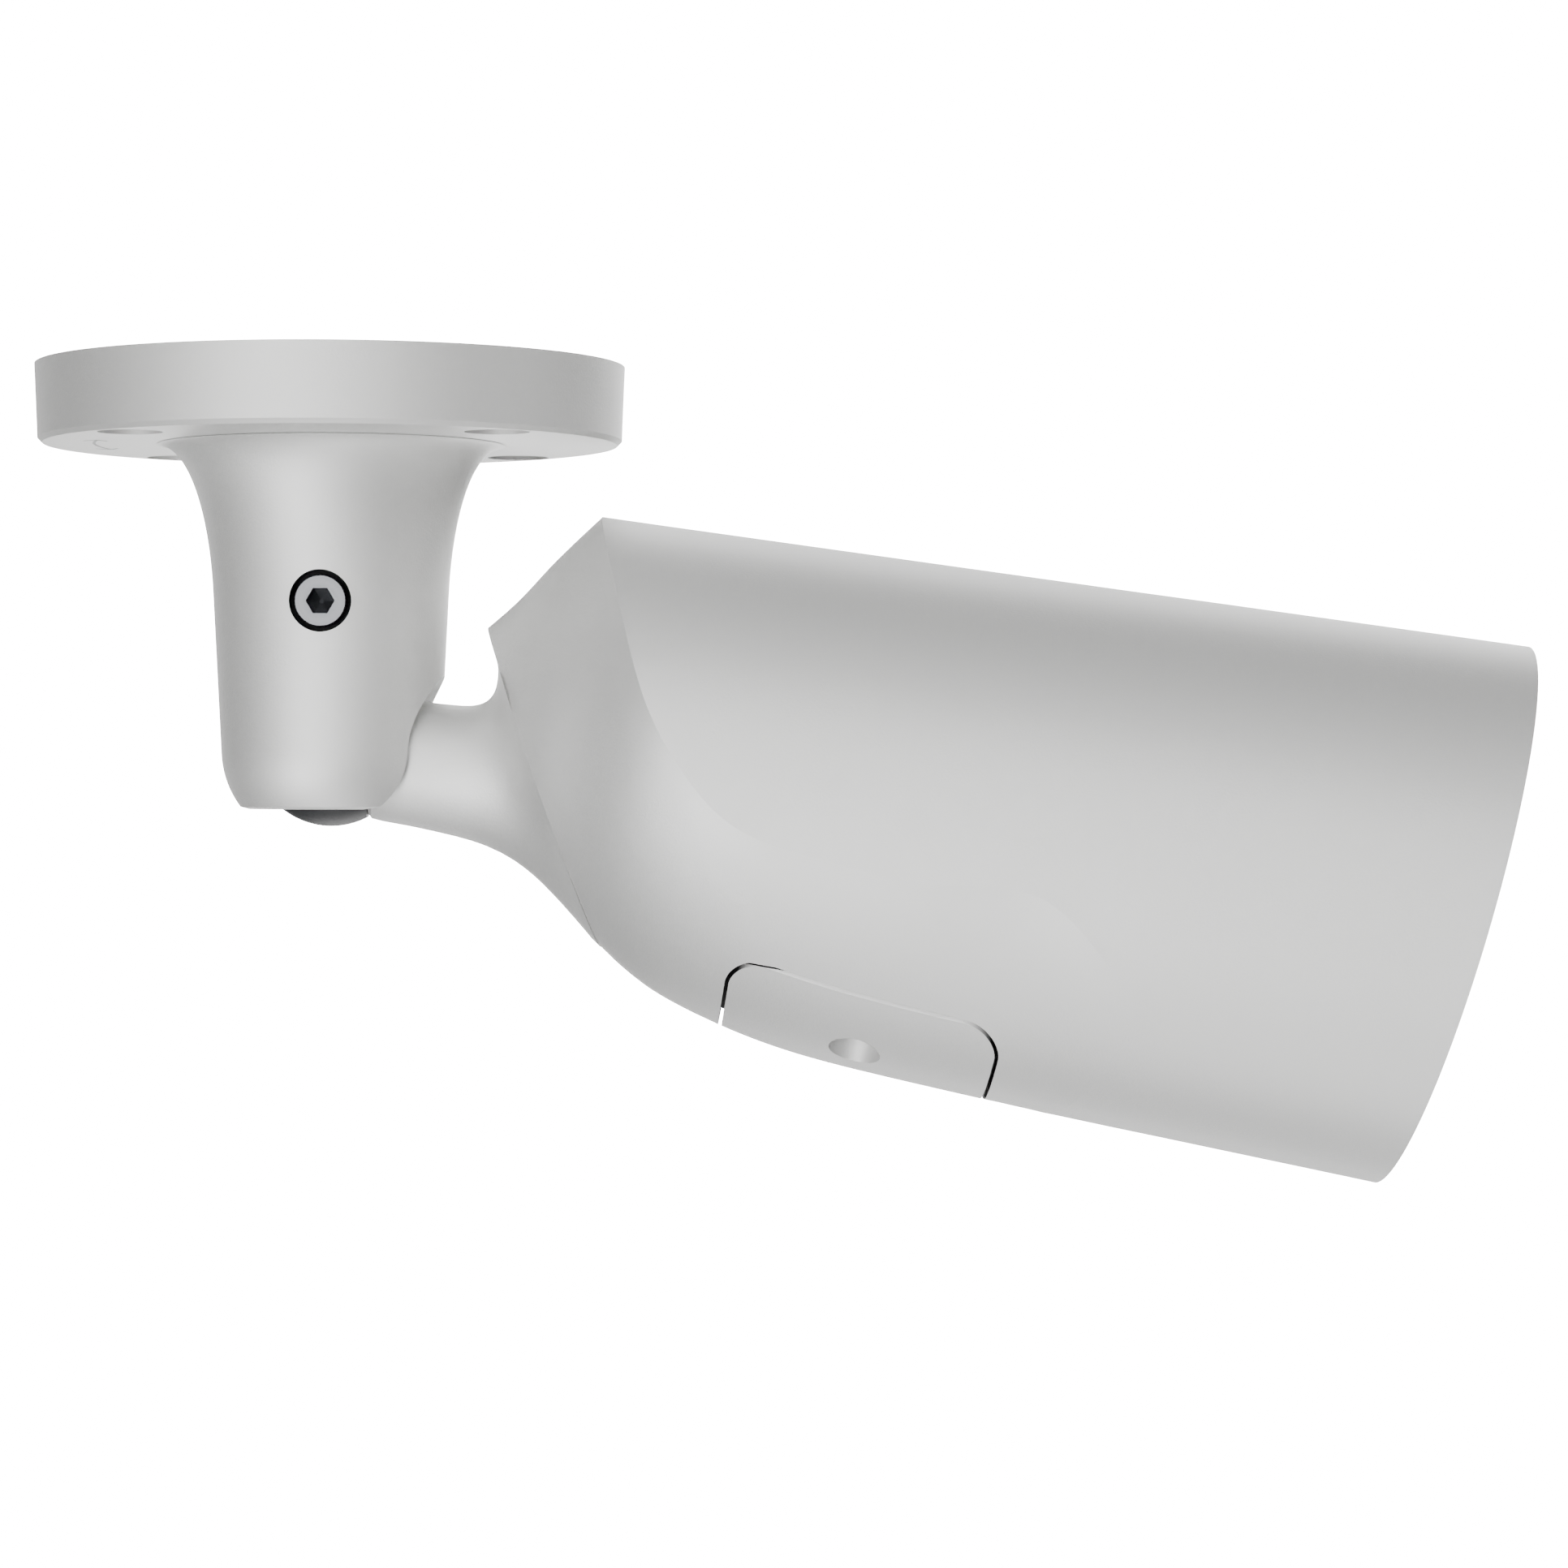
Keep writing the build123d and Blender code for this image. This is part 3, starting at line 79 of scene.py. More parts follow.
LARGE_SCREW = {"head_r": 2.75 * MM, "head_h": 2.0 * MM, "shank_r": 1.5 * MM, "length": 9.0 * MM,
               "socket": 2.5 * MM, "pitch": 0.5 * MM, "count": 36}
COVER_SCREW = {**LARGE_SCREW, "head_r": 2.9 * MM, "head_h": 1.4 * MM, "length": 13.0 * MM,
               "socket": 2.0 * MM}
SMALL_SCREW = {"head_r": 1.9 * MM, "head_h": 1.3 * MM, "shank_r": 1.0 * MM, "length": 4.5 * MM,
               "socket": 1.3 * MM, "pitch": 0.4 * MM, "count": 24}
BOARD_SCREW = {**SMALL_SCREW, "length": 5.0 * MM}
TRAY_SCREW = {**SMALL_SCREW, "length": 6.5 * MM}
RING_SCREW = {**SMALL_SCREW, "head_r": 1.45 * MM, "head_h": 1.2 * MM, "length": 9.5 * MM}

# Finishes

# Near-black colour painted on the counterbore and the cover joint as painted shade
SHADE_BLACK = "#141415"
GRAIN_RELIEF = 0.25
LATHE_RING = 2.2 * MM
# Depths below the lock screw's face where its colour starts and finishes turning dark, as painted shade in
# the knurl and socket
SHADE_START_DEPTH = -0.2 * MM
SHADE_FULL_DEPTH = -0.6 * MM
COPPER_LANE = 0.6 * MM
MASK_GRAIN = 1.5 * MM

# Studio

FLOOR_Z = -2.6
FLOOR_REACH = 4.0
BACKDROP = 22.0
SOFTBOX_SIZE = 0.9
STUDIO_MIDDLE = Vector((0.077, 0, -0.07))
CAMERA_PLACE = (0.07709, -0.78532, -0.07098)
SENSOR_MM = 36.0
LENS_MM = 105.85


def linear(code):
    """Linear colour of an sRGB hex value."""
    channels = [int(code[k:k + 2], 16) / 255 for k in (1, 3, 5)]
    return [c / 12.92 if c <= 0.04045 else ((c + 0.055) / 1.055) ** 2.4 for c in channels]


def shaded(code):
    """The same with full opacity, for a shader's colour socket."""
    return (*linear(code), 1.0)


def scaled(colour, share):
    """Linear colour made darker or paler by a share, up to full brightness."""
    return [min(1.0, c * share) for c in colour]


# Values that a user may change


class CameraFinish(bpy.types.PropertyGroup):
    """Colours and grain of the finishes"""
    coat: FloatVectorProperty(
        name="Coat", description="Powder coat on the castings", subtype="COLOR", size=3, min=0, max=1,
        default=linear("#D6D6D5"))
    coat_grain: FloatProperty(
        name="Coat grain", description="Width of one grain of the powder coat", unit="LENGTH",
        default=0.42 * MM, min=0.05 * MM, max=5 * MM, precision=5)
    ball: FloatVectorProperty(
        name="Ball", description="Dark coat on the ball", subtype="COLOR", size=3, min=0, max=1,
        default=linear("#27282A"))
    mask: FloatVectorProperty(
        name="Front mask", description="Black plastic behind the window", subtype="COLOR", size=3,
        min=0, max=1, default=linear("#17181A"))
    board: FloatVectorProperty(
        name="Boards", description="Solder mask on the circuit boards", subtype="COLOR", size=3,
        min=0, max=1, default=linear("#1E5A36"))


class CameraSizes(bpy.types.PropertyGroup):
    """Sizes of the lock screw and the turning arrow"""
    knurl_count: IntProperty(
        name="Knurl count", description="Ridges round the lock screw's head", default=44, min=12, max=120)
    thread_pitch: FloatProperty(
        name="Thread pitch", description="Pitch of the lock screw's thread", unit="LENGTH",
        default=0.8 * MM, min=0.2 * MM, max=3 * MM, precision=5)
    arrow_radius: FloatProperty(
        name="Arrow radius", description="Middle of the turning arrow under the base", unit="LENGTH",
        default=40.0 * MM, min=30 * MM, max=46 * MM, precision=5)
    arrow_width: FloatProperty(
        name="Arrow width", description="Width of the turning arrow's line", unit="LENGTH",
        default=0.5 * MM, min=0.2 * MM, max=4 * MM, precision=5)
    arrow_barb: FloatProperty(
        name="Arrow barb", description="Reach of the arrow's barbs to each side of its line",
        unit="LENGTH", default=1.9 * MM, min=0.5 * MM, max=5 * MM, precision=5)


# Materials


def add(tree, kind, inputs=None, **settings):
    """Adds a node, sets its settings, and sets or links its inputs."""
    node = tree.nodes.new(kind)
    for key, value in settings.items():
        setattr(node, key, value)
    for key, value in (inputs or {}).items():
        if isinstance(value, bpy.types.NodeSocket):
            tree.links.new(value, node.inputs[key])
        else:
            node.inputs[key].default_value = value
    return node


def new_material(name):
    """Empty material and its node tree."""
    material = bpy.data.materials.new(name)
    material.use_nodes = True
    material.node_tree.nodes.clear()
    return material, material.node_tree


def grained(name, light, dark, roughness, grain, bump, metallic=0.0, spread=0.06, stretch=(1, 1, 1),
            painted_shade=None, **shader):
    """Surface whose colour, gloss and relief all follow one grain of a real width in metres.

    A mask function given for painted shade marks places painted near black, standing in for the shade in
    deep gaps.
    """
    material, tree = new_material(name)
    place = add(tree, "ShaderNodeTexCoord")
    turned = add(tree, "ShaderNodeMapping", {"Vector": place.outputs["Object"], "Scale": stretch})
    noise = add(tree, "ShaderNodeTexNoise", {
        "Vector": turned.outputs["Vector"], "Scale": 1 / grain, "Detail": 3.0, "Roughness": 0.55})
    colour = add(tree, "ShaderNodeMix", {
        "Factor": noise.outputs["Fac"], "A": (*dark, 1), "B": (*light, 1)}, data_type="RGBA")
    # Painted shade: the masked places turn near black
    if painted_shade:
        colour = add(tree, "ShaderNodeMix", {
            "Factor": painted_shade(tree, place.outputs["Object"]), "A": colour.outputs["Result"],
            "B": shaded(SHADE_BLACK)}, data_type="RGBA")
    gloss = add(tree, "ShaderNodeMapRange", {
        "Value": noise.outputs["Fac"], "To Min": roughness - spread, "To Max": roughness + spread})
    relief = add(tree, "ShaderNodeBump", {
        "Height": noise.outputs["Fac"], "Strength": bump, "Distance": GRAIN_RELIEF * grain})
    surface = add(tree, "ShaderNodeBsdfPrincipled", {
        "Base Color": colour.outputs["Result"], "Roughness": gloss.outputs["Result"],
        "Normal": relief.outputs["Normal"], "Metallic": metallic, **shader})
    add(tree, "ShaderNodeOutputMaterial", {"Surface": surface.outputs["BSDF"]})
    return material


# Mask for the painted shade in the lock screw's counterbore
def in_counterbore(tree, place):
    """One on the wall and floor of the lock screw's counterbore, and zero elsewhere on the post."""
    flat = add(tree, "ShaderNodeVectorMath", {0: place, 1: (1, 0, 1)}, operation="MULTIPLY")
    reach = add(tree, "ShaderNodeVectorMath", {
        0: flat.outputs["Vector"], 1: (0, 0, LOCK_Z)}, operation="DISTANCE")
    near = add(tree, "ShaderNodeMath", {
        0: reach.outputs["Value"], 1: LOCK_SINK_R + WALL_SLACK}, operation="LESS_THAN")
    depth = add(tree, "ShaderNodeSeparateXYZ", {"Vector": place})
    ahead = add(tree, "ShaderNodeMath", {
        0: depth.outputs["Y"], 1: LOCK_SINK_BACK_Y}, operation="LESS_THAN")
    both = add(tree, "ShaderNodeMath", {0: near.outputs[0], 1: ahead.outputs[0]}, operation="MULTIPLY")
    return both.outputs[0]


# Mask for the painted shade in the gap round the access cover
def in_cover_joint(tree, place):
    """One on the walls of the gap at both ends of the access cover, fading out along its sides."""
    local = add(tree, "ShaderNodeMapping", {
        "Vector": place, "Location": HEAD @ Vector((COVER_MIDDLE, 0, 0)),
        "Rotation": (0, HEAD_TILT, 0)}, vector_type="TEXTURE")
    side = add(tree, "ShaderNodeVectorMath", {0: local.outputs["Vector"]}, operation="ABSOLUTE")
    core = (COVER_HALF_X - COVER_CORNER, COVER_HALF_Y - COVER_CORNER, 1.0)
    past = add(tree, "ShaderNodeVectorMath", {0: side.outputs["Vector"], 1: core}, operation="SUBTRACT")
    outside = add(tree, "ShaderNodeVectorMath", {
        0: past.outputs["Vector"], 1: (0, 0, 0)}, operation="MAXIMUM")
    reach = add(tree, "ShaderNodeVectorMath", {0: outside.outputs["Vector"]}, operation="LENGTH")
    gap = add(tree, "ShaderNodeMath", {
        0: reach.outputs["Value"], 1: COVER_CORNER + COVER_GAP / 2, 2: COVER_GAP / 2 + WALL_SLACK},
        operation="COMPARE")
    axes = add(tree, "ShaderNodeSeparateXYZ", {"Vector": local.outputs["Vector"]})
    below = add(tree, "ShaderNodeMath", {0: axes.outputs["Z"], 1: COVER_TOP}, operation="LESS_THAN")
    spread = add(tree, "ShaderNodeSeparateXYZ", {"Vector": side.outputs["Vector"]})
    ends = add(tree, "ShaderNodeMapRange", {
        "Value": spread.outputs["Y"], "From Min": COVER_HALF_Y - COVER_FADE, "From Max": COVER_HALF_Y,
        "To Min": 1.0, "To Max": 0.0})
    low = add(tree, "ShaderNodeMath", {0: gap.outputs[0], 1: below.outputs[0]}, operation="MULTIPLY")
    joint = add(tree, "ShaderNodeMath", {
        0: low.outputs[0], 1: ends.outputs["Result"]}, operation="MULTIPLY")
    return joint.outputs[0]


def turned_steel(name):
    """Steel with lathe rings about the lock screw's axis, pale on its face and painted dark below it as
    painted shade in the knurl and socket.
    """
    material, tree = new_material(name)
    place = add(tree, "ShaderNodeTexCoord")
    axis = add(tree, "ShaderNodeMapping", {
        "Vector": place.outputs["Object"], "Location": (0, LOCK_FACE_Y, LOCK_Z),
        "Rotation": (math.pi / 2, 0, 0)}, vector_type="TEXTURE")
    # Real lathe rings are too fine to show, so these are drawn far wider; the wave node draws 20 radians
    # to a unit, and one ring takes a full turn of them
    rings = add(tree, "ShaderNodeTexWave", {
        "Vector": axis.outputs["Vector"], "Scale": 2 * math.pi / 20 / LATHE_RING, "Distortion": 0.4,
        "Detail": 2.0}, wave_type="RINGS", rings_direction="Z")
    tint = add(tree, "ShaderNodeMix", {
        "Factor": rings.outputs["Fac"], "A": shaded("#7E7F82"), "B": shaded("#8C8D90")}, data_type="RGBA")
    # Painted shade: below the face the colour turns near black, standing in for the shade in the knurl and
    # socket
    depth = add(tree, "ShaderNodeSeparateXYZ", {"Vector": axis.outputs["Vector"]})
    face = add(tree, "ShaderNodeMapRange", {
        "Value": depth.outputs["Z"], "From Min": SHADE_FULL_DEPTH, "From Max": SHADE_START_DEPTH})
    colour = add(tree, "ShaderNodeMix", {
        "Factor": face.outputs["Result"], "A": shaded("#232426"), "B": tint.outputs["Result"]},
        data_type="RGBA")
    gloss = add(tree, "ShaderNodeMapRange", {
        "Value": rings.outputs["Fac"], "To Min": 0.48, "To Max": 0.56})
    relief = add(tree, "ShaderNodeBump", {
        "Height": rings.outputs["Fac"], "Strength": 0.12, "Distance": 0.04 * MM})
    surface = add(tree, "ShaderNodeBsdfPrincipled", {
        "Base Color": colour.outputs["Result"], "Roughness": gloss.outputs["Result"],
        "Normal": relief.outputs["Normal"], "Metallic": 1.0})
    add(tree, "ShaderNodeOutputMaterial", {"Surface": surface.outputs["BSDF"]})
    return material


def masked_board(name, base):
    """Board with copper lanes that show as paler bands under its solder mask."""
    material, tree = new_material(name)
    place = add(tree, "ShaderNodeTexCoord")
    # A row of the brick pattern is a quarter of its unit
    lanes = add(tree, "ShaderNodeTexBrick", {
        "Vector": place.outputs["Object"], "Scale": 0.25 / COPPER_LANE, "Mortar Size": 0.09,
        "Mortar Smooth": 0.05, "Color1": (*base, 1), "Color2": (*scaled(base, 0.86), 1),
        "Mortar": (*scaled(base, 1.9), 1)}, offset=0.37, squash=1.6)
    relief = add(tree, "ShaderNodeBump", {
        "Height": lanes.outputs["Fac"], "Strength": 0.25, "Distance": 0.05 * MM})
    noise = add(tree, "ShaderNodeTexNoise", {"Vector": place.outputs["Object"], "Scale": 1 / MASK_GRAIN})
    gloss = add(tree, "ShaderNodeMapRange", {"Value": noise.outputs["Fac"], "To Min": 0.25, "To Max": 0.4})
    surface = add(tree, "ShaderNodeBsdfPrincipled", {
        "Base Color": lanes.outputs["Color"], "Roughness": gloss.outputs["Result"],
        "Normal": relief.outputs["Normal"]})
    add(tree, "ShaderNodeOutputMaterial", {"Surface": surface.outputs["BSDF"]})
    return material


def dress(material, *nodes):
    """Gives CAD nodes a finish."""
    for name in nodes:
        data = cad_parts[name].data
        data.materials.clear()
        data.materials.append(material)


# Mesh helpers


def piece(name, mesh, body, slot, material, *replaced):
    """Makes a finished mesh a piece of the object on a body."""
    thing = bpy.data.objects.new(name, mesh)
    bpy.context.scene.collection.objects.link(thing)
    mesh.materials.clear()
    mesh.materials.append(material)
    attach(thing, body)
    if replaced:
        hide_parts(*replaced)


def mesh_from(name, build):
    """Mesh from a function that fills a bmesh, with normals outwards."""
    grid = bmesh.new()
    build(grid)
    bmesh.ops.remove_doubles(grid, verts=grid.verts, dist=1e-7)
    bmesh.ops.recalc_face_normals(grid, faces=grid.faces)
    mesh = bpy.data.meshes.new(name)
    grid.to_mesh(mesh)
    grid.free()
    return mesh


def skin_rings(grid, rings):
    """Closed skin over rings of points, with the first and last ring filled."""
    made = [[grid.verts.new(p) for p in ring] for ring in rings]
    count = len(made[0])
    for low, high in zip(made, made[1:]):
        for k in range(count):
            grid.faces.new((low[k], low[(k + 1) % count], high[(k + 1) % count], high[k]))
    grid.faces.new(list(reversed(made[0])))
    grid.faces.new(made[-1])


def ring(radius, height, count):
    """Round ring; radius is a number or a function of the angle."""
    points = []
    for k in range(count):
        turn = 2 * math.pi * k / count
        reach = radius(turn) if callable(radius) else radius
        points.append((reach * math.cos(turn), reach * math.sin(turn), height))
    return points


def lathe(grid, profile, count, placed):
    """Turns a closed profile of (radius, height) points into a ring-shaped solid."""
    rows = []
    for radius, height in profile:
        rows.append([grid.verts.new(placed @ Vector(p)) for p in ring(radius, height, count)])
    for a, b in zip(rows, rows[1:] + rows[:1]):
        for k in range(count):
            grid.faces.new((a[k], a[(k + 1) % count], b[(k + 1) % count], b[k]))


def bar(grid, points, half, sink):
    """Flat bar along points, from a little above a face that looks down to a little below it."""
    rows = []
    drop = Vector((0, 0, sink))
    for k, point in enumerate(points):
        along = points[min(k + 1, len(points) - 1)] - points[max(k - 1, 0)]
        across = Vector((along.y, -along.x, 0)).normalized() * half
        left = point + across
        right = point - across
        rows.append([left + drop, right + drop, right - drop, left - drop])
    skin_rings(grid, rows)


def hexagon(across):
    """Distance to the wall of a hexagon socket in each direction, with a corner at zero."""
    def reach(turn):
        part = turn % (math.pi / 3) - math.pi / 6
        return across / 2 / math.cos(part)
    return reach


def screw_rings(head_r, head_h, shank_r, length, socket, pitch, count, knurl=0):
    """Rings of a socket screw along Z, head's top at zero, from its tip to the bottom of its socket."""
    per_turn = 4
    tip = -head_h - length
    lead_in = 0.3 * pitch
    depth = 0.17 * pitch
    steps = max(2, round(per_turn * length / pitch))
    rings = [ring(0.6 * shank_r, tip, count)]
    for k in range(steps + 1):
        height = tip + lead_in + (length - lead_in) * k / steps
        fade = min(1.0, (steps - k) / per_turn)

        def thread(turn, height=height, fade=fade):
            wave = (height / pitch - turn / (2 * math.pi)) % 1.0
            return shank_r - depth * fade * (1 - abs(2 * wave - 1))
        rings.append(ring(thread, height, count))
    edge = 0.1 * head_h
    ridge = 0.035 * head_r if knurl else 0.0
    bottom = -0.62 * head_h
    wall = hexagon(socket)

    def side(turn):
        return head_r - ridge * (0.5 - 0.5 * math.cos(knurl * turn))

    def mouth(turn):
        return wall(turn) * 1.05
    outline = (
        (head_r - edge, -head_h), (side, -head_h + edge), (side, -1.2 * edge),
        (head_r - 0.35 * edge, -0.7 * edge), (head_r - 0.55 * edge, 0.0), (mouth, 0.0),
        (wall, -0.05 * socket), (wall, bottom), (0.1 * socket, bottom - 0.15 * socket),
    )
    return rings + [ring(reach, height, count) for reach, height in outline]


def screw_mesh(name, **sizes):
    """Mesh of one socket screw along Z, with the top of its head at zero."""
    return mesh_from(name, lambda grid: skin_rings(grid, screw_rings(**sizes)))


def in_head(*points):
    """Places in the row frame of points in the head, given in millimetres from the ball."""
    return [HEAD @ (Vector(p) * MM) for p in points]


def round_circle(radius, count, start):
    """Pairs of coordinates spread evenly round a circle, from a start angle in degrees."""
    turns = [math.radians(start + 360 * k / count) for k in range(count)]
    return [(radius * math.cos(turn), radius * math.sin(turn)) for turn in turns]


def round_tube(x, radius, start):
    """Four places round the camera tube's axis, at x along it, in millimetres."""
    return in_head(*[(x, y, TUBE_Z_MM + z) for y, z in round_circle(radius, 4, start)])


def screw_layout():
    """Geometry node tree that sets one screw at every point, turned to one axis."""
    tree = bpy.data.node_groups.new("Screws at points", "GeometryNodeTree")
    face = tree.interface
    face.new_socket("Points", in_out="INPUT", socket_type="NodeSocketGeometry")
    face.new_socket("Screw", in_out="INPUT", socket_type="NodeSocketObject")
    face.new_socket("Axis", in_out="INPUT", socket_type="NodeSocketVector")
    face.new_socket("Finish", in_out="INPUT", socket_type="NodeSocketMaterial")
    face.new_socket("Screws", in_out="OUTPUT", socket_type="NodeSocketGeometry")
    given = add(tree, "NodeGroupInput")
    screw = add(tree, "GeometryNodeObjectInfo", {"Object": given.outputs["Screw"]})
    turn = add(tree, "FunctionNodeAlignRotationToVector", {"Vector": given.outputs["Axis"]}, axis="Z")
    points = add(tree, "GeometryNodeMeshToPoints", {"Mesh": given.outputs["Points"]})
    spread = add(tree, "GeometryNodeInstanceOnPoints", {
        "Points": points.outputs["Points"], "Instance": screw.outputs["Geometry"],
        "Rotation": turn.outputs["Rotation"]})
    real = add(tree, "GeometryNodeRealizeInstances", {"Geometry": spread.outputs["Instances"]})
    finish = add(tree, "GeometryNodeSetMaterial", {
        "Geometry": real.outputs["Geometry"], "Material": given.outputs["Finish"]})
    add(tree, "NodeGroupOutput", {"Screws": finish.outputs["Geometry"]})
    return tree


def tree_input(tree, name):
    """Identifier of a tree's input, by its name."""
    for item in tree.interface.items_tree:
        if item.item_type == "SOCKET" and item.in_out == "INPUT" and item.name == name:
            return item.identifier
    raise KeyError(name)


def laid_out(name, tree, places, screw, axis, finish):
    """Plain mesh of the screws that the tree sets at the places."""
    mesh = bpy.data.meshes.new(name + "_places")
    mesh.from_pydata(places, [], [])
    carrier = bpy.data.objects.new(name + "_carrier", mesh)
    model = bpy.data.objects.new(name + "_model", screw)
    bpy.context.scene.collection.objects.link(carrier)
    bpy.context.scene.collection.objects.link(model)
    modifier = carrier.modifiers.new("Screws", "NODES")
    modifier.node_group = tree
    modifier[tree_input(tree, "Screw")] = model
    modifier[tree_input(tree, "Axis")] = tuple(axis)
    modifier[tree_input(tree, "Finish")] = finish
    graph = bpy.context.evaluated_depsgraph_get()
    result = bpy.data.meshes.new_from_object(carrier.evaluated_get(graph))
    result.name = name
    carrier.modifiers.remove(modifier)
    for thing in (carrier, model):
        bpy.data.objects.remove(thing)
    if not result.polygons:
        raise RuntimeError("No screws were set for " + name)
    return result


# Pieces


class CAMERA_OT_castings(bpy.types.Operator):
    """Powder coat on the base, the post, the housing and the access cover"""
    bl_idname = "camera_parts.castings"
    bl_label = "Coated castings"

    def execute(self, context):
        values = context.scene.camera_finish
        light = list(values.coat)
        # Powder coat with fine aluminium flake on die-cast aluminium: a pale satin grey that is brightest
        # where it faces the light and falls off towards its edges, with a fine orange-peel grain
        recipe = {"light": light, "dark": scaled(light, 0.96), "roughness": 0.6,
                  "grain": values.coat_grain, "bump": 0.22, "metallic": 0.7, "spread": 0.04}
        coat = grained("Flake powder coat on die-cast aluminium", **recipe)
        dress(coat, "base_plate")
        # The same coat, with the wall and floor of the lock screw's counterbore painted near black as
        # painted shade, so that the rim round the screw reads dark
        coat_shaded_counterbore = grained("Flake powder coat, painted counterbore shade", **recipe, painted_shade=in_counterbore)
        dress(coat_shaded_counterbore, "post")
        # The same coat, with the walls of the gap round the access cover painted near black as painted
        # shade, fading out along its sides, so that the joint reads as a dark line
        coat_shaded_joint = grained("Flake powder coat, painted joint shade", **recipe, painted_shade=in_cover_joint)
        dress(coat_shaded_joint, "housing", "access_cover")
        return {"FINISHED"}


class CAMERA_OT_ball(bpy.types.Operator):
    """Dark coat on the ball, and the finishes of its clamp, washers, nut and sheet parts"""
    bl_idname = "camera_parts.ball"
    bl_label = "Ball and clamp"

    def execute(self, context):
        dark = list(context.scene.camera_finish.ball)
        # Satin enamel on a cast ball: dark grey with a soft broad highlight and slight rubbing marks
        coat = grained("Satin-enamelled cast ball", dark, scaled(dark, 0.8),
                       roughness=0.5, grain=0.6 * MM, bump=0.12)
        dress(coat, "ball_stud")
        # Zinc die casting: dull grey metal with a mottled skin
        zinc = grained("Zinc die casting", linear("#9A9B9D"), linear("#7C7D80"),
                       roughness=0.5, grain=1.2 * MM, bump=0.2, metallic=1.0)
        dress(zinc, "pressure_piece")
        # Acetal: milky white plastic with a waxy gloss
        slip = grained("Moulded acetal", linear("#E9E8E2"), linear("#DDDCD5"),
                       roughness=0.35, grain=2 * MM, bump=0.05)
        dress(slip, "pan_washer", "stud_washer")
        # Stainless steel bar, milled to a hexagon: clean grey metal with fine cutter lines
        steel = grained("Milled stainless steel", linear("#C4C5C7"), linear("#A9ABAE"),
                        roughness=0.3, grain=0.5 * MM, bump=0.15, metallic=1.0, stretch=(1, 6, 1))
        dress(steel, "stud_nut")
        # Bent aluminium sheet: bright, with rolling lines along its length
        sheet = grained("Rolled aluminium sheet", linear("#C9CBCD"), linear("#B4B6B9"),
                        roughness=0.38, grain=0.5 * MM, bump=0.15, metallic=1.0, stretch=(0.1, 1, 1))
        dress(sheet, "pan_ring", "chassis")
        return {"FINISHED"}


class CAMERA_OT_lock_screw(bpy.types.Operator):
    """Knurled socket screw that clamps the ball"""
    bl_idname = "camera_parts.lock_screw"
    bl_label = "Lock screw"

    def execute(self, context):
        sizes = context.scene.camera_sizes
        points_per_ridge = 6
        # Stainless steel, turned: a pale satin face with faint rings from the lathe, and a knurl and socket
        # painted dark as painted shade
        steel = turned_steel("Turned stainless steel, painted shade below face")
        mesh = screw_mesh(
            "lock_screw_knurled", head_r=4.35 * MM, head_h=3.5 * MM, shank_r=2.5 * MM, length=12.8 * MM,
            socket=4.0 * MM, pitch=sizes.thread_pitch, count=points_per_ridge * sizes.knurl_count,
            knurl=sizes.knurl_count)
        mesh.transform(Matrix.Translation((0, LOCK_FACE_Y, LOCK_Z)) @ Matrix.Rotation(math.pi / 2, 4, "X"))
        piece("lock_screw_knurled", mesh, "lock_screw", "steel", steel, "lock_screw")
        return {"FINISHED"}


class CAMERA_OT_screws(bpy.types.Operator):
    """Small socket screws in the bracket, the head and the access cover"""
    bl_idname = "camera_parts.screws"
    bl_label = "Small screws"

    def execute(self, context):
        tree = screw_layout()
        # Stainless steel wire, headed and rolled: small bright screws
        steel = grained("Headed stainless steel wire", linear("#BFC1C4"), linear("#A4A6AA"),
                        roughness=0.32, grain=0.4 * MM, bump=0.1, metallic=1.0)
        # Where the tops of the heads lie, in millimetres
        sides = (-1, 1)
        pan = [Vector((x, y, -4.7)) * MM for x, y in round_circle(22.3, 3, 90)]
        chassis = in_head(*[(70.5, 16.0 * a, 13.0) for a in sides])
        cover = in_head(*[(96.2, 17.0 * a, -32.4) for a in sides])
        retainer = round_tube(184.2, 42.3, 45)
        led = round_tube(166.9, 31.0, 22.5)
        sensor = in_head(*[(125.7, 14.0 * a, TUBE_Z_MM + 10.5 * b) for a in sides for b in sides])
        board = in_head(*[(x, 20.0 * a, 11.1) for x in (74.0, 118.0) for a in sides])
        holder = in_head(*[(142.0, 13.5 * a, 21.8) for a in sides])
        service = in_head(*[(x, 12.5 * a, -13.7) for x in (81.5, 112.5) for a in sides])
        groups = (
            ("pan_screws", "post", pan, LARGE_SCREW, Vector((0, 0, 1))),
            ("chassis_screws", "head", chassis, LARGE_SCREW, HEAD_ALONG),
            ("cover_screws", "cover", cover, COVER_SCREW, -HEAD_UP),
            ("retainer_screws", "head", retainer, RING_SCREW, HEAD_ALONG),
            ("led_screws", "head", led, BOARD_SCREW, HEAD_ALONG),
            ("sensor_screws", "head", sensor, BOARD_SCREW, -HEAD_ALONG),
            ("board_screws", "head", board, BOARD_SCREW, -HEAD_UP),
            ("holder_screws", "head", holder, TRAY_SCREW, HEAD_UP),
            ("service_screws", "head", service, SMALL_SCREW, HEAD_UP),
        )
        for node, body, places, sizes, axis in groups:
            name = node + "_socket"
            screw = screw_mesh(node + "_one", **sizes)
            mesh = laid_out(name, tree, places, screw, axis, steel)
            bpy.data.meshes.remove(screw)
            piece(name, mesh, body, "steel", steel, node)
        return {"FINISHED"}


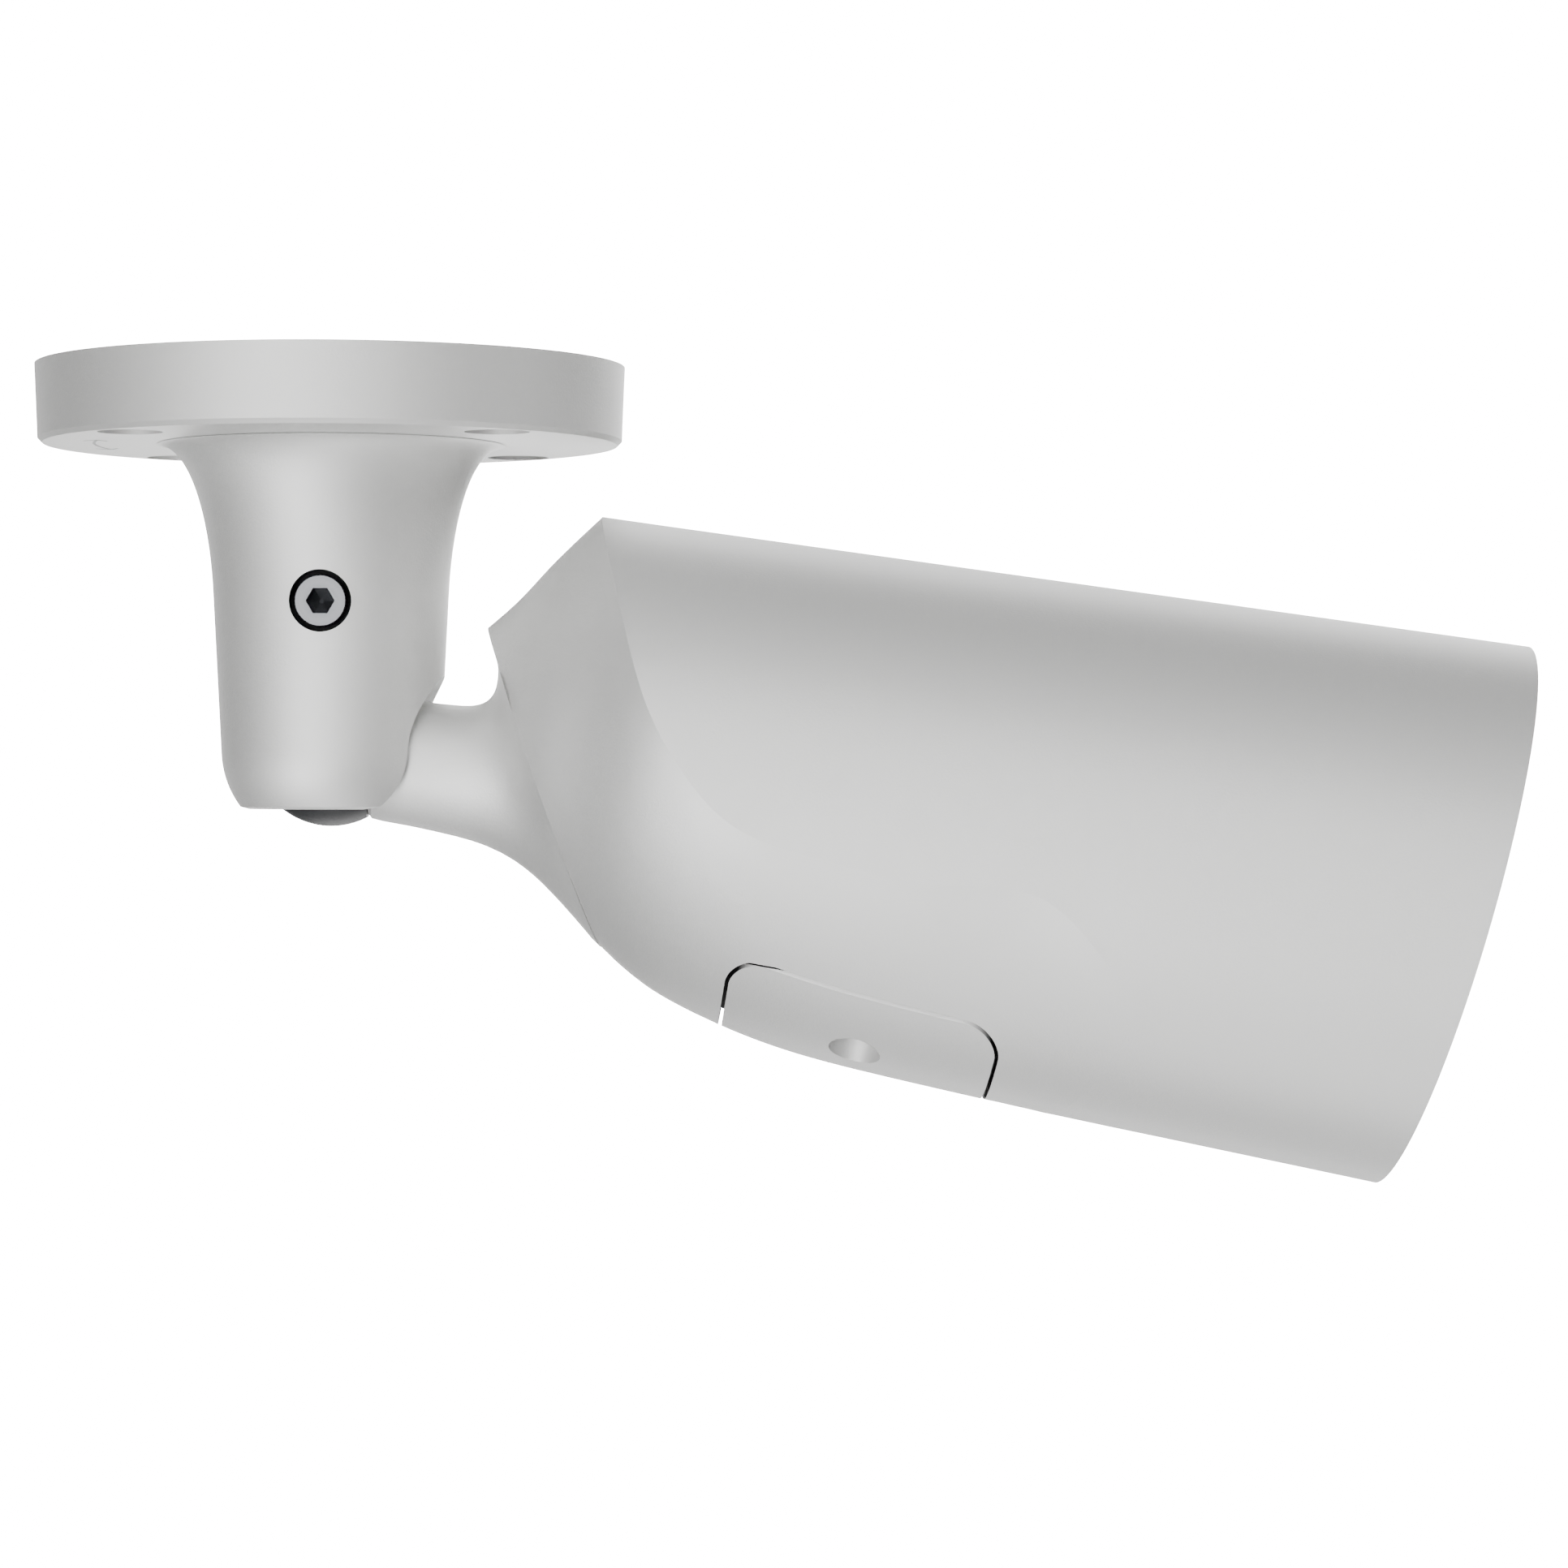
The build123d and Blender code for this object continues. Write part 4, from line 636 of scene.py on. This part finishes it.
class CAMERA_OT_seals(bpy.types.Operator):
    """Rubber seals, grommet and the heat pad"""
    bl_idname = "camera_parts.seals"
    bl_label = "Seals"

    def execute(self, context):
        # Moulded rubber: dull black with a dusty bloom
        rubber = grained("Moulded rubber", linear("#2A2A2B"), linear("#1A1A1B"),
                         roughness=0.72, grain=0.8 * MM, bump=0.2)
        dress(rubber, "base_seal", "window_seal", "cover_seal", "cable_grommet")
        # Filled silicone sheet: soft blue-grey with specks
        pad = grained("Filled silicone pad", linear("#8F97A3"), linear("#717A87"),
                      roughness=0.65, grain=0.5 * MM, bump=0.25)
        dress(pad, "thermal_pad")
        return {"FINISHED"}


class CAMERA_OT_front(bpy.types.Operator):
    """Window, retainer, mask and infrared lamps"""
    bl_idname = "camera_parts.front"
    bl_label = "Front end"

    def execute(self, context):
        mask = list(context.scene.camera_finish.mask)
        # Moulded polycarbonate with a spark-eroded mould skin: matt black
        black = grained("Moulded black polycarbonate", mask, scaled(mask, 0.7),
                        roughness=0.55, grain=0.4 * MM, bump=0.3)
        dress(black, "window_retainer", "front_mask", "lens_holder", "filter_slide", "button_switch")
        # Float glass with an anti-reflection coat: clear and faintly cool, with a weak mirror image of
        # the lights
        glass = grained("Coated float glass", linear("#F4F7F8"), linear("#EEF3F5"),
                        roughness=0.02, grain=30 * MM, bump=0.0, spread=0.01,
                        **{"Transmission Weight": 1.0, "IOR": 1.5, "Specular IOR Level": 0.2})
        dress(glass, "front_window")
        # Moulded acrylic: clear, with slightly wavy moulded faces
        acrylic = grained("Moulded clear acrylic", linear("#F6F6F4"), linear("#EFEFEE"),
                          roughness=0.05, grain=3 * MM, bump=0.05, spread=0.02,
                          **{"Transmission Weight": 1.0, "IOR": 1.49})
        dress(acrylic, "led_optics", "light_sensor")
        # Cast epoxy over a lamp chip: pale and glossy
        lamp = grained("Cast lamp epoxy", linear("#E8E4CF"), linear("#D9D2B4"),
                       roughness=0.15, grain=1.5 * MM, bump=0.05)
        dress(lamp, "ir_leds", "status_led")
        return {"FINISHED"}


class CAMERA_OT_lens(bpy.types.Operator):
    """Turned lens barrel with baffle rings, and its glass"""
    bl_idname = "camera_parts.lens"
    bl_label = "Lens"

    def execute(self, context):
        # Black-anodised aluminium, turned: dark satin metal
        black = grained("Black-anodised turned aluminium", linear("#232427"), linear("#17181A"),
                        roughness=0.4, grain=0.4 * MM, bump=0.15, metallic=0.6, stretch=(4, 1, 1))
        mesh = mesh_from("lens_barrel_turned", self.turn_barrel)
        piece("lens_barrel_turned", mesh, "head", "lens_metal", black, "lens_barrel")
        # Ground optical glass with a thin coating: clear, with a violet and green sheen
        glass = grained("Coated optical glass", linear("#FBFBFC"), linear("#F3F3F6"),
                        roughness=0.015, grain=20 * MM, bump=0.0, spread=0.01,
                        **{"Transmission Weight": 1.0, "IOR": 1.62, "Thin Film Thickness": 430.0,
                           "Thin Film IOR": 1.38})
        dress(glass, "lens_front_element", "lens_rear_element")
        # Thin filter glass with a reflecting coat: pale cyan
        filters = grained("Coated filter glass", linear("#BFE3E8"), linear("#A7D4DB"),
                          roughness=0.03, grain=6 * MM, bump=0.0, spread=0.01,
                          **{"Transmission Weight": 0.9, "IOR": 1.52})
        dress(filters, "filter_glass")
        return {"FINISHED"}

    @staticmethod
    def turn_barrel(grid):
        """Barrel about the tube's axis, from radius and distance from the ball in millimetres."""
        outside = [
            (5.5, 139.0), (8.5, 139.0), (8.5, 147.0), (10.5, 147.0), (10.5, 150.0), (10.2, 150.4),
            (10.2, 151.2), (10.5, 151.6), (10.5, 164.0), (12.5, 166.0), (12.5, 168.6), (12.2, 168.9),
            (12.2, 169.5), (12.5, 169.8), (12.5, 174.4), (12.2, 174.8),
        ]
        mouth_r, mouth_x = 11.9, 174.8
        throat_r, throat_x = 9.85, 170.3
        baffles = 5
        shoulder, crest = 0.25, 0.15
        front_edge, back_edge = 0.1, 0.05
        points_round = 96
        run = (mouth_x - throat_x) / baffles
        taper = (mouth_r - throat_r) / baffles
        funnel = [(mouth_r, mouth_x)]
        for k in range(baffles):
            reach = mouth_r - taper * k
            height = mouth_x - run * k
            funnel.append((reach - shoulder, height - front_edge))
            funnel.append((reach - crest, height - run + back_edge))
        bore = [(throat_r, throat_x), (throat_r, 164.0), (7.0, 164.0), (6.0, 150.0), (5.5, 150.0)]
        axis = HEAD @ Matrix.Translation((0, 0, TUBE_Z_MM * MM)) @ Matrix.Rotation(math.pi / 2, 4, "Y")
        profile = [(r * MM, h * MM) for r, h in outside + funnel + bore]
        lathe(grid, profile, points_round, axis)


class CAMERA_OT_boards(bpy.types.Operator):
    """Circuit boards and what is soldered to them"""
    bl_idname = "camera_parts.boards"
    bl_label = "Circuit boards"

    def execute(self, context):
        base = list(context.scene.camera_finish.board)
        # Fibreglass board under solder mask: glossy green with paler lanes
        board = masked_board("Solder-masked fibreglass board", base)
        dress(board, "main_board", "sensor_board", "led_board", "service_board")
        # Moulded epoxy chip: near black, finely textured
        chip = grained("Moulded epoxy package", linear("#2B2B2D"), linear("#1D1D1F"),
                       roughness=0.6, grain=0.3 * MM, bump=0.25)
        dress(chip, "main_chips", "image_sensor")
        # Wound cores and cans under varnish: brown-black with a patchy gloss
        core = grained("Varnished ferrite", linear("#3C3833"), linear("#26231F"),
                       roughness=0.35, grain=1.0 * MM, bump=0.25)
        dress(core, "power_parts")
        # Moulded nylon: off-white and slightly glossy
        nylon = grained("Moulded nylon", linear("#E6E3DA"), linear("#D7D3C8"),
                        roughness=0.4, grain=1.0 * MM, bump=0.1)
        dress(nylon, "cable_header", "control_button")
        # Stamped and plated steel: bright, with drawing lines
        plated = grained("Stamped nickel-plated steel", linear("#CBC9C2"), linear("#BDBAB2"),
                         roughness=0.3, grain=0.3 * MM, bump=0.03, metallic=1.0, stretch=(0.15, 1, 1))
        dress(plated, "card_socket")
        # Moulded card body: black with a light sheen
        card = grained("Moulded card plastic", linear("#26272A"), linear("#191A1C"),
                       roughness=0.38, grain=0.3 * MM, bump=0.12)
        dress(card, "memory_card")
        return {"FINISHED"}


class CAMERA_OT_arrow(bpy.types.Operator):
    """Two-headed turning arrow under the base"""
    bl_idname = "camera_parts.arrow"
    bl_label = "Turning arrow"

    def execute(self, context):
        sizes = context.scene.camera_sizes
        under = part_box("base_plate")[0][2]
        start = math.radians(166)
        end = math.radians(198)
        barb_turn = math.radians(3.4)
        sink = 0.03 * MM
        steps = 16
        arc = [start + (end - start) * k / steps for k in range(steps + 1)]
        lines = [[(sizes.arrow_radius, turn) for turn in arc]]
        for tip, inward in ((start, 1), (end, -1)):
            for side in (-1, 1):
                barb = (sizes.arrow_radius + side * sizes.arrow_barb, tip + inward * barb_turn)
                lines.append([(sizes.arrow_radius, tip), barb])

        def build(grid):
            for line in lines:
                points = [Vector((r * math.cos(t), r * math.sin(t), under)) for r, t in line]
                bar(grid, points, sizes.arrow_width / 2, sink)

        # Painted shade of an engraved groove: a matt grey line in the pale coat
        groove_shade = grained("Powder coat with painted groove shade", linear("#8F8F8F"), linear("#838383"),
                       roughness=0.6, grain=0.3 * MM, bump=0.1)
        piece("turning_arrow", mesh_from("turning_arrow", build), "base", "light_paint", groove_shade)
        return {"FINISHED"}


# Stage


def studio_floor(scene):
    """Wide floor far below the object."""
    mesh = bpy.data.meshes.new("floor")
    corners = [(a * FLOOR_REACH, b * FLOOR_REACH, FLOOR_Z) for a, b in ((-1, -1), (1, -1), (1, 1), (-1, 1))]
    mesh.from_pydata(corners, [], [(0, 1, 2, 3)])
    floor = bpy.data.objects.new("floor", mesh)
    scene.collection.objects.link(floor)
    # Matt white floor paint with a barely visible roller texture, lit as brightly as the backdrop, so that
    # the two join without an edge; only the lens sees it, and it adds no light to the object
    paint = grained("Rolled white floor paint", linear("#FAFAFA"), linear("#F4F4F4"),
                    roughness=0.9, grain=4 * MM, bump=0.05,
                    **{"Emission Color": shaded("#FFFFFF"), "Emission Strength": BACKDROP})
    mesh.materials.append(paint)
    floor.visible_diffuse = False
    floor.visible_glossy = False
    floor.visible_transmission = False
    floor.visible_shadow = False


def studio_backdrop(scene):
    """White backdrop that the lens sees burnt out, and that adds no light to the object."""
    world = bpy.data.worlds.new("Studio")
    world.use_nodes = True
    tree = world.node_tree
    tree.nodes.clear()
    path = add(tree, "ShaderNodeLightPath")
    seen = add(tree, "ShaderNodeBackground", {"Color": shaded("#FFFFFF"), "Strength": BACKDROP})
    unlit = add(tree, "ShaderNodeBackground", {"Color": shaded("#FFFFFF"), "Strength": 0.0})
    sky = add(tree, "ShaderNodeMixShader", {
        0: path.outputs["Is Camera Ray"], 1: unlit.outputs["Background"], 2: seen.outputs["Background"]})
    add(tree, "ShaderNodeOutputWorld", {"Surface": sky.outputs["Shader"]})
    scene.world = world


def studio_light(scene):
    """Softboxes all round the object, aimed at its middle."""
    # Each softbox: its name, direction round and up from the photograph's side, distance and power
    softboxes = (
        ("front_left_low_softbox", -30, -30, 2.2, 47.0),
        ("front_left_softbox", -18, 0, 2.2, 26.0),
        ("front_high_softbox", 0, 32, 2.2, 26.0),
        ("front_right_softbox", 18, 0, 2.2, 7.5),
        ("bottom_softbox", 0, -80, 2.2, 19.0),
        ("top_softbox", 0, 85, 2.2, 5.5),
        ("right_softbox", 90, 12, 2.2, 5.0),
        ("right_high_softbox", 90, 35, 2.2, 14.5),
        ("back_right_softbox", 150, 20, 1.8, 24.0),
        ("back_panel", 180, 0, 1.8, 30.0),
        ("back_high_softbox", 180, 40, 1.8, 14.0),
        ("back_left_softbox", -145, 0, 1.8, 6.0),
        ("back_low_softbox", 180, -38, 1.8, 9.0),
    )
    for name, turn, rise, distance, power in softboxes:
        aim = Matrix.Rotation(math.radians(turn), 3, "Z") @ Matrix.Rotation(math.radians(-rise), 3, "X")
        place = STUDIO_MIDDLE + aim @ Vector((0, -distance, 0))
        lamp = bpy.data.lights.new(name, "AREA")
        lamp.shape = "SQUARE"
        lamp.size = SOFTBOX_SIZE
        lamp.energy = power
        lantern = bpy.data.objects.new(name, lamp)
        lantern.location = place
        lantern.rotation_euler = (STUDIO_MIDDLE - place).to_track_quat("-Z", "Y").to_euler()
        lantern.visible_camera = False
        scene.collection.objects.link(lantern)


def photo_camera(scene):
    """View from the photograph's place, looking level at the side of the object."""
    data = bpy.data.cameras.new("photo_camera")
    data.sensor_width = SENSOR_MM
    data.lens = LENS_MM
    camera = bpy.data.objects.new("photo_camera", data)
    camera.location = CAMERA_PLACE
    camera.rotation_euler = (math.pi / 2, 0, 0)
    scene.collection.objects.link(camera)
    scene.camera = camera


class CAMERA_OT_stage(bpy.types.Operator):
    """Pale floor, soft light and the camera at the photograph's place"""
    bl_idname = "camera_parts.stage"
    bl_label = "Stage"

    def execute(self, context):
        studio_floor(context.scene)
        studio_backdrop(context.scene)
        studio_light(context.scene)
        photo_camera(context.scene)
        return {"FINISHED"}


# Add-on


OPERATORS = (
    CAMERA_OT_castings, CAMERA_OT_ball, CAMERA_OT_lock_screw, CAMERA_OT_screws, CAMERA_OT_seals,
    CAMERA_OT_front, CAMERA_OT_lens, CAMERA_OT_boards, CAMERA_OT_arrow, CAMERA_OT_stage,
)


class CAMERA_PT_parts(bpy.types.Panel):
    """Values and pieces of the security camera"""
    bl_idname = "CAMERA_PT_parts"
    bl_label = "Security camera"
    bl_space_type = "VIEW_3D"
    bl_region_type = "UI"
    bl_category = "Camera"

    def draw(self, context):
        layout = self.layout
        for values in (context.scene.camera_finish, context.scene.camera_sizes):
            for key in values.bl_rna.properties.keys():
                if key not in ("rna_type", "name"):
                    layout.prop(values, key)
        for operator in OPERATORS:
            layout.operator(operator.bl_idname)


CLASSES = (CameraFinish, CameraSizes, *OPERATORS, CAMERA_PT_parts)


def register():
    """Registers the classes and hangs their values on the scene."""
    for each in CLASSES:
        bpy.utils.register_class(each)
    bpy.types.Scene.camera_finish = PointerProperty(type=CameraFinish)
    bpy.types.Scene.camera_sizes = PointerProperty(type=CameraSizes)


def unregister():
    """Takes the values and the classes away again."""
    del bpy.types.Scene.camera_sizes
    del bpy.types.Scene.camera_finish
    for each in reversed(CLASSES):
        bpy.utils.unregister_class(each)


def main():
    """Makes every piece and the stage."""
    register()
    for operator in OPERATORS:
        group, name = operator.bl_idname.split(".")
        getattr(getattr(bpy.ops, group), name)()


if __name__ == "__main__":
    main()
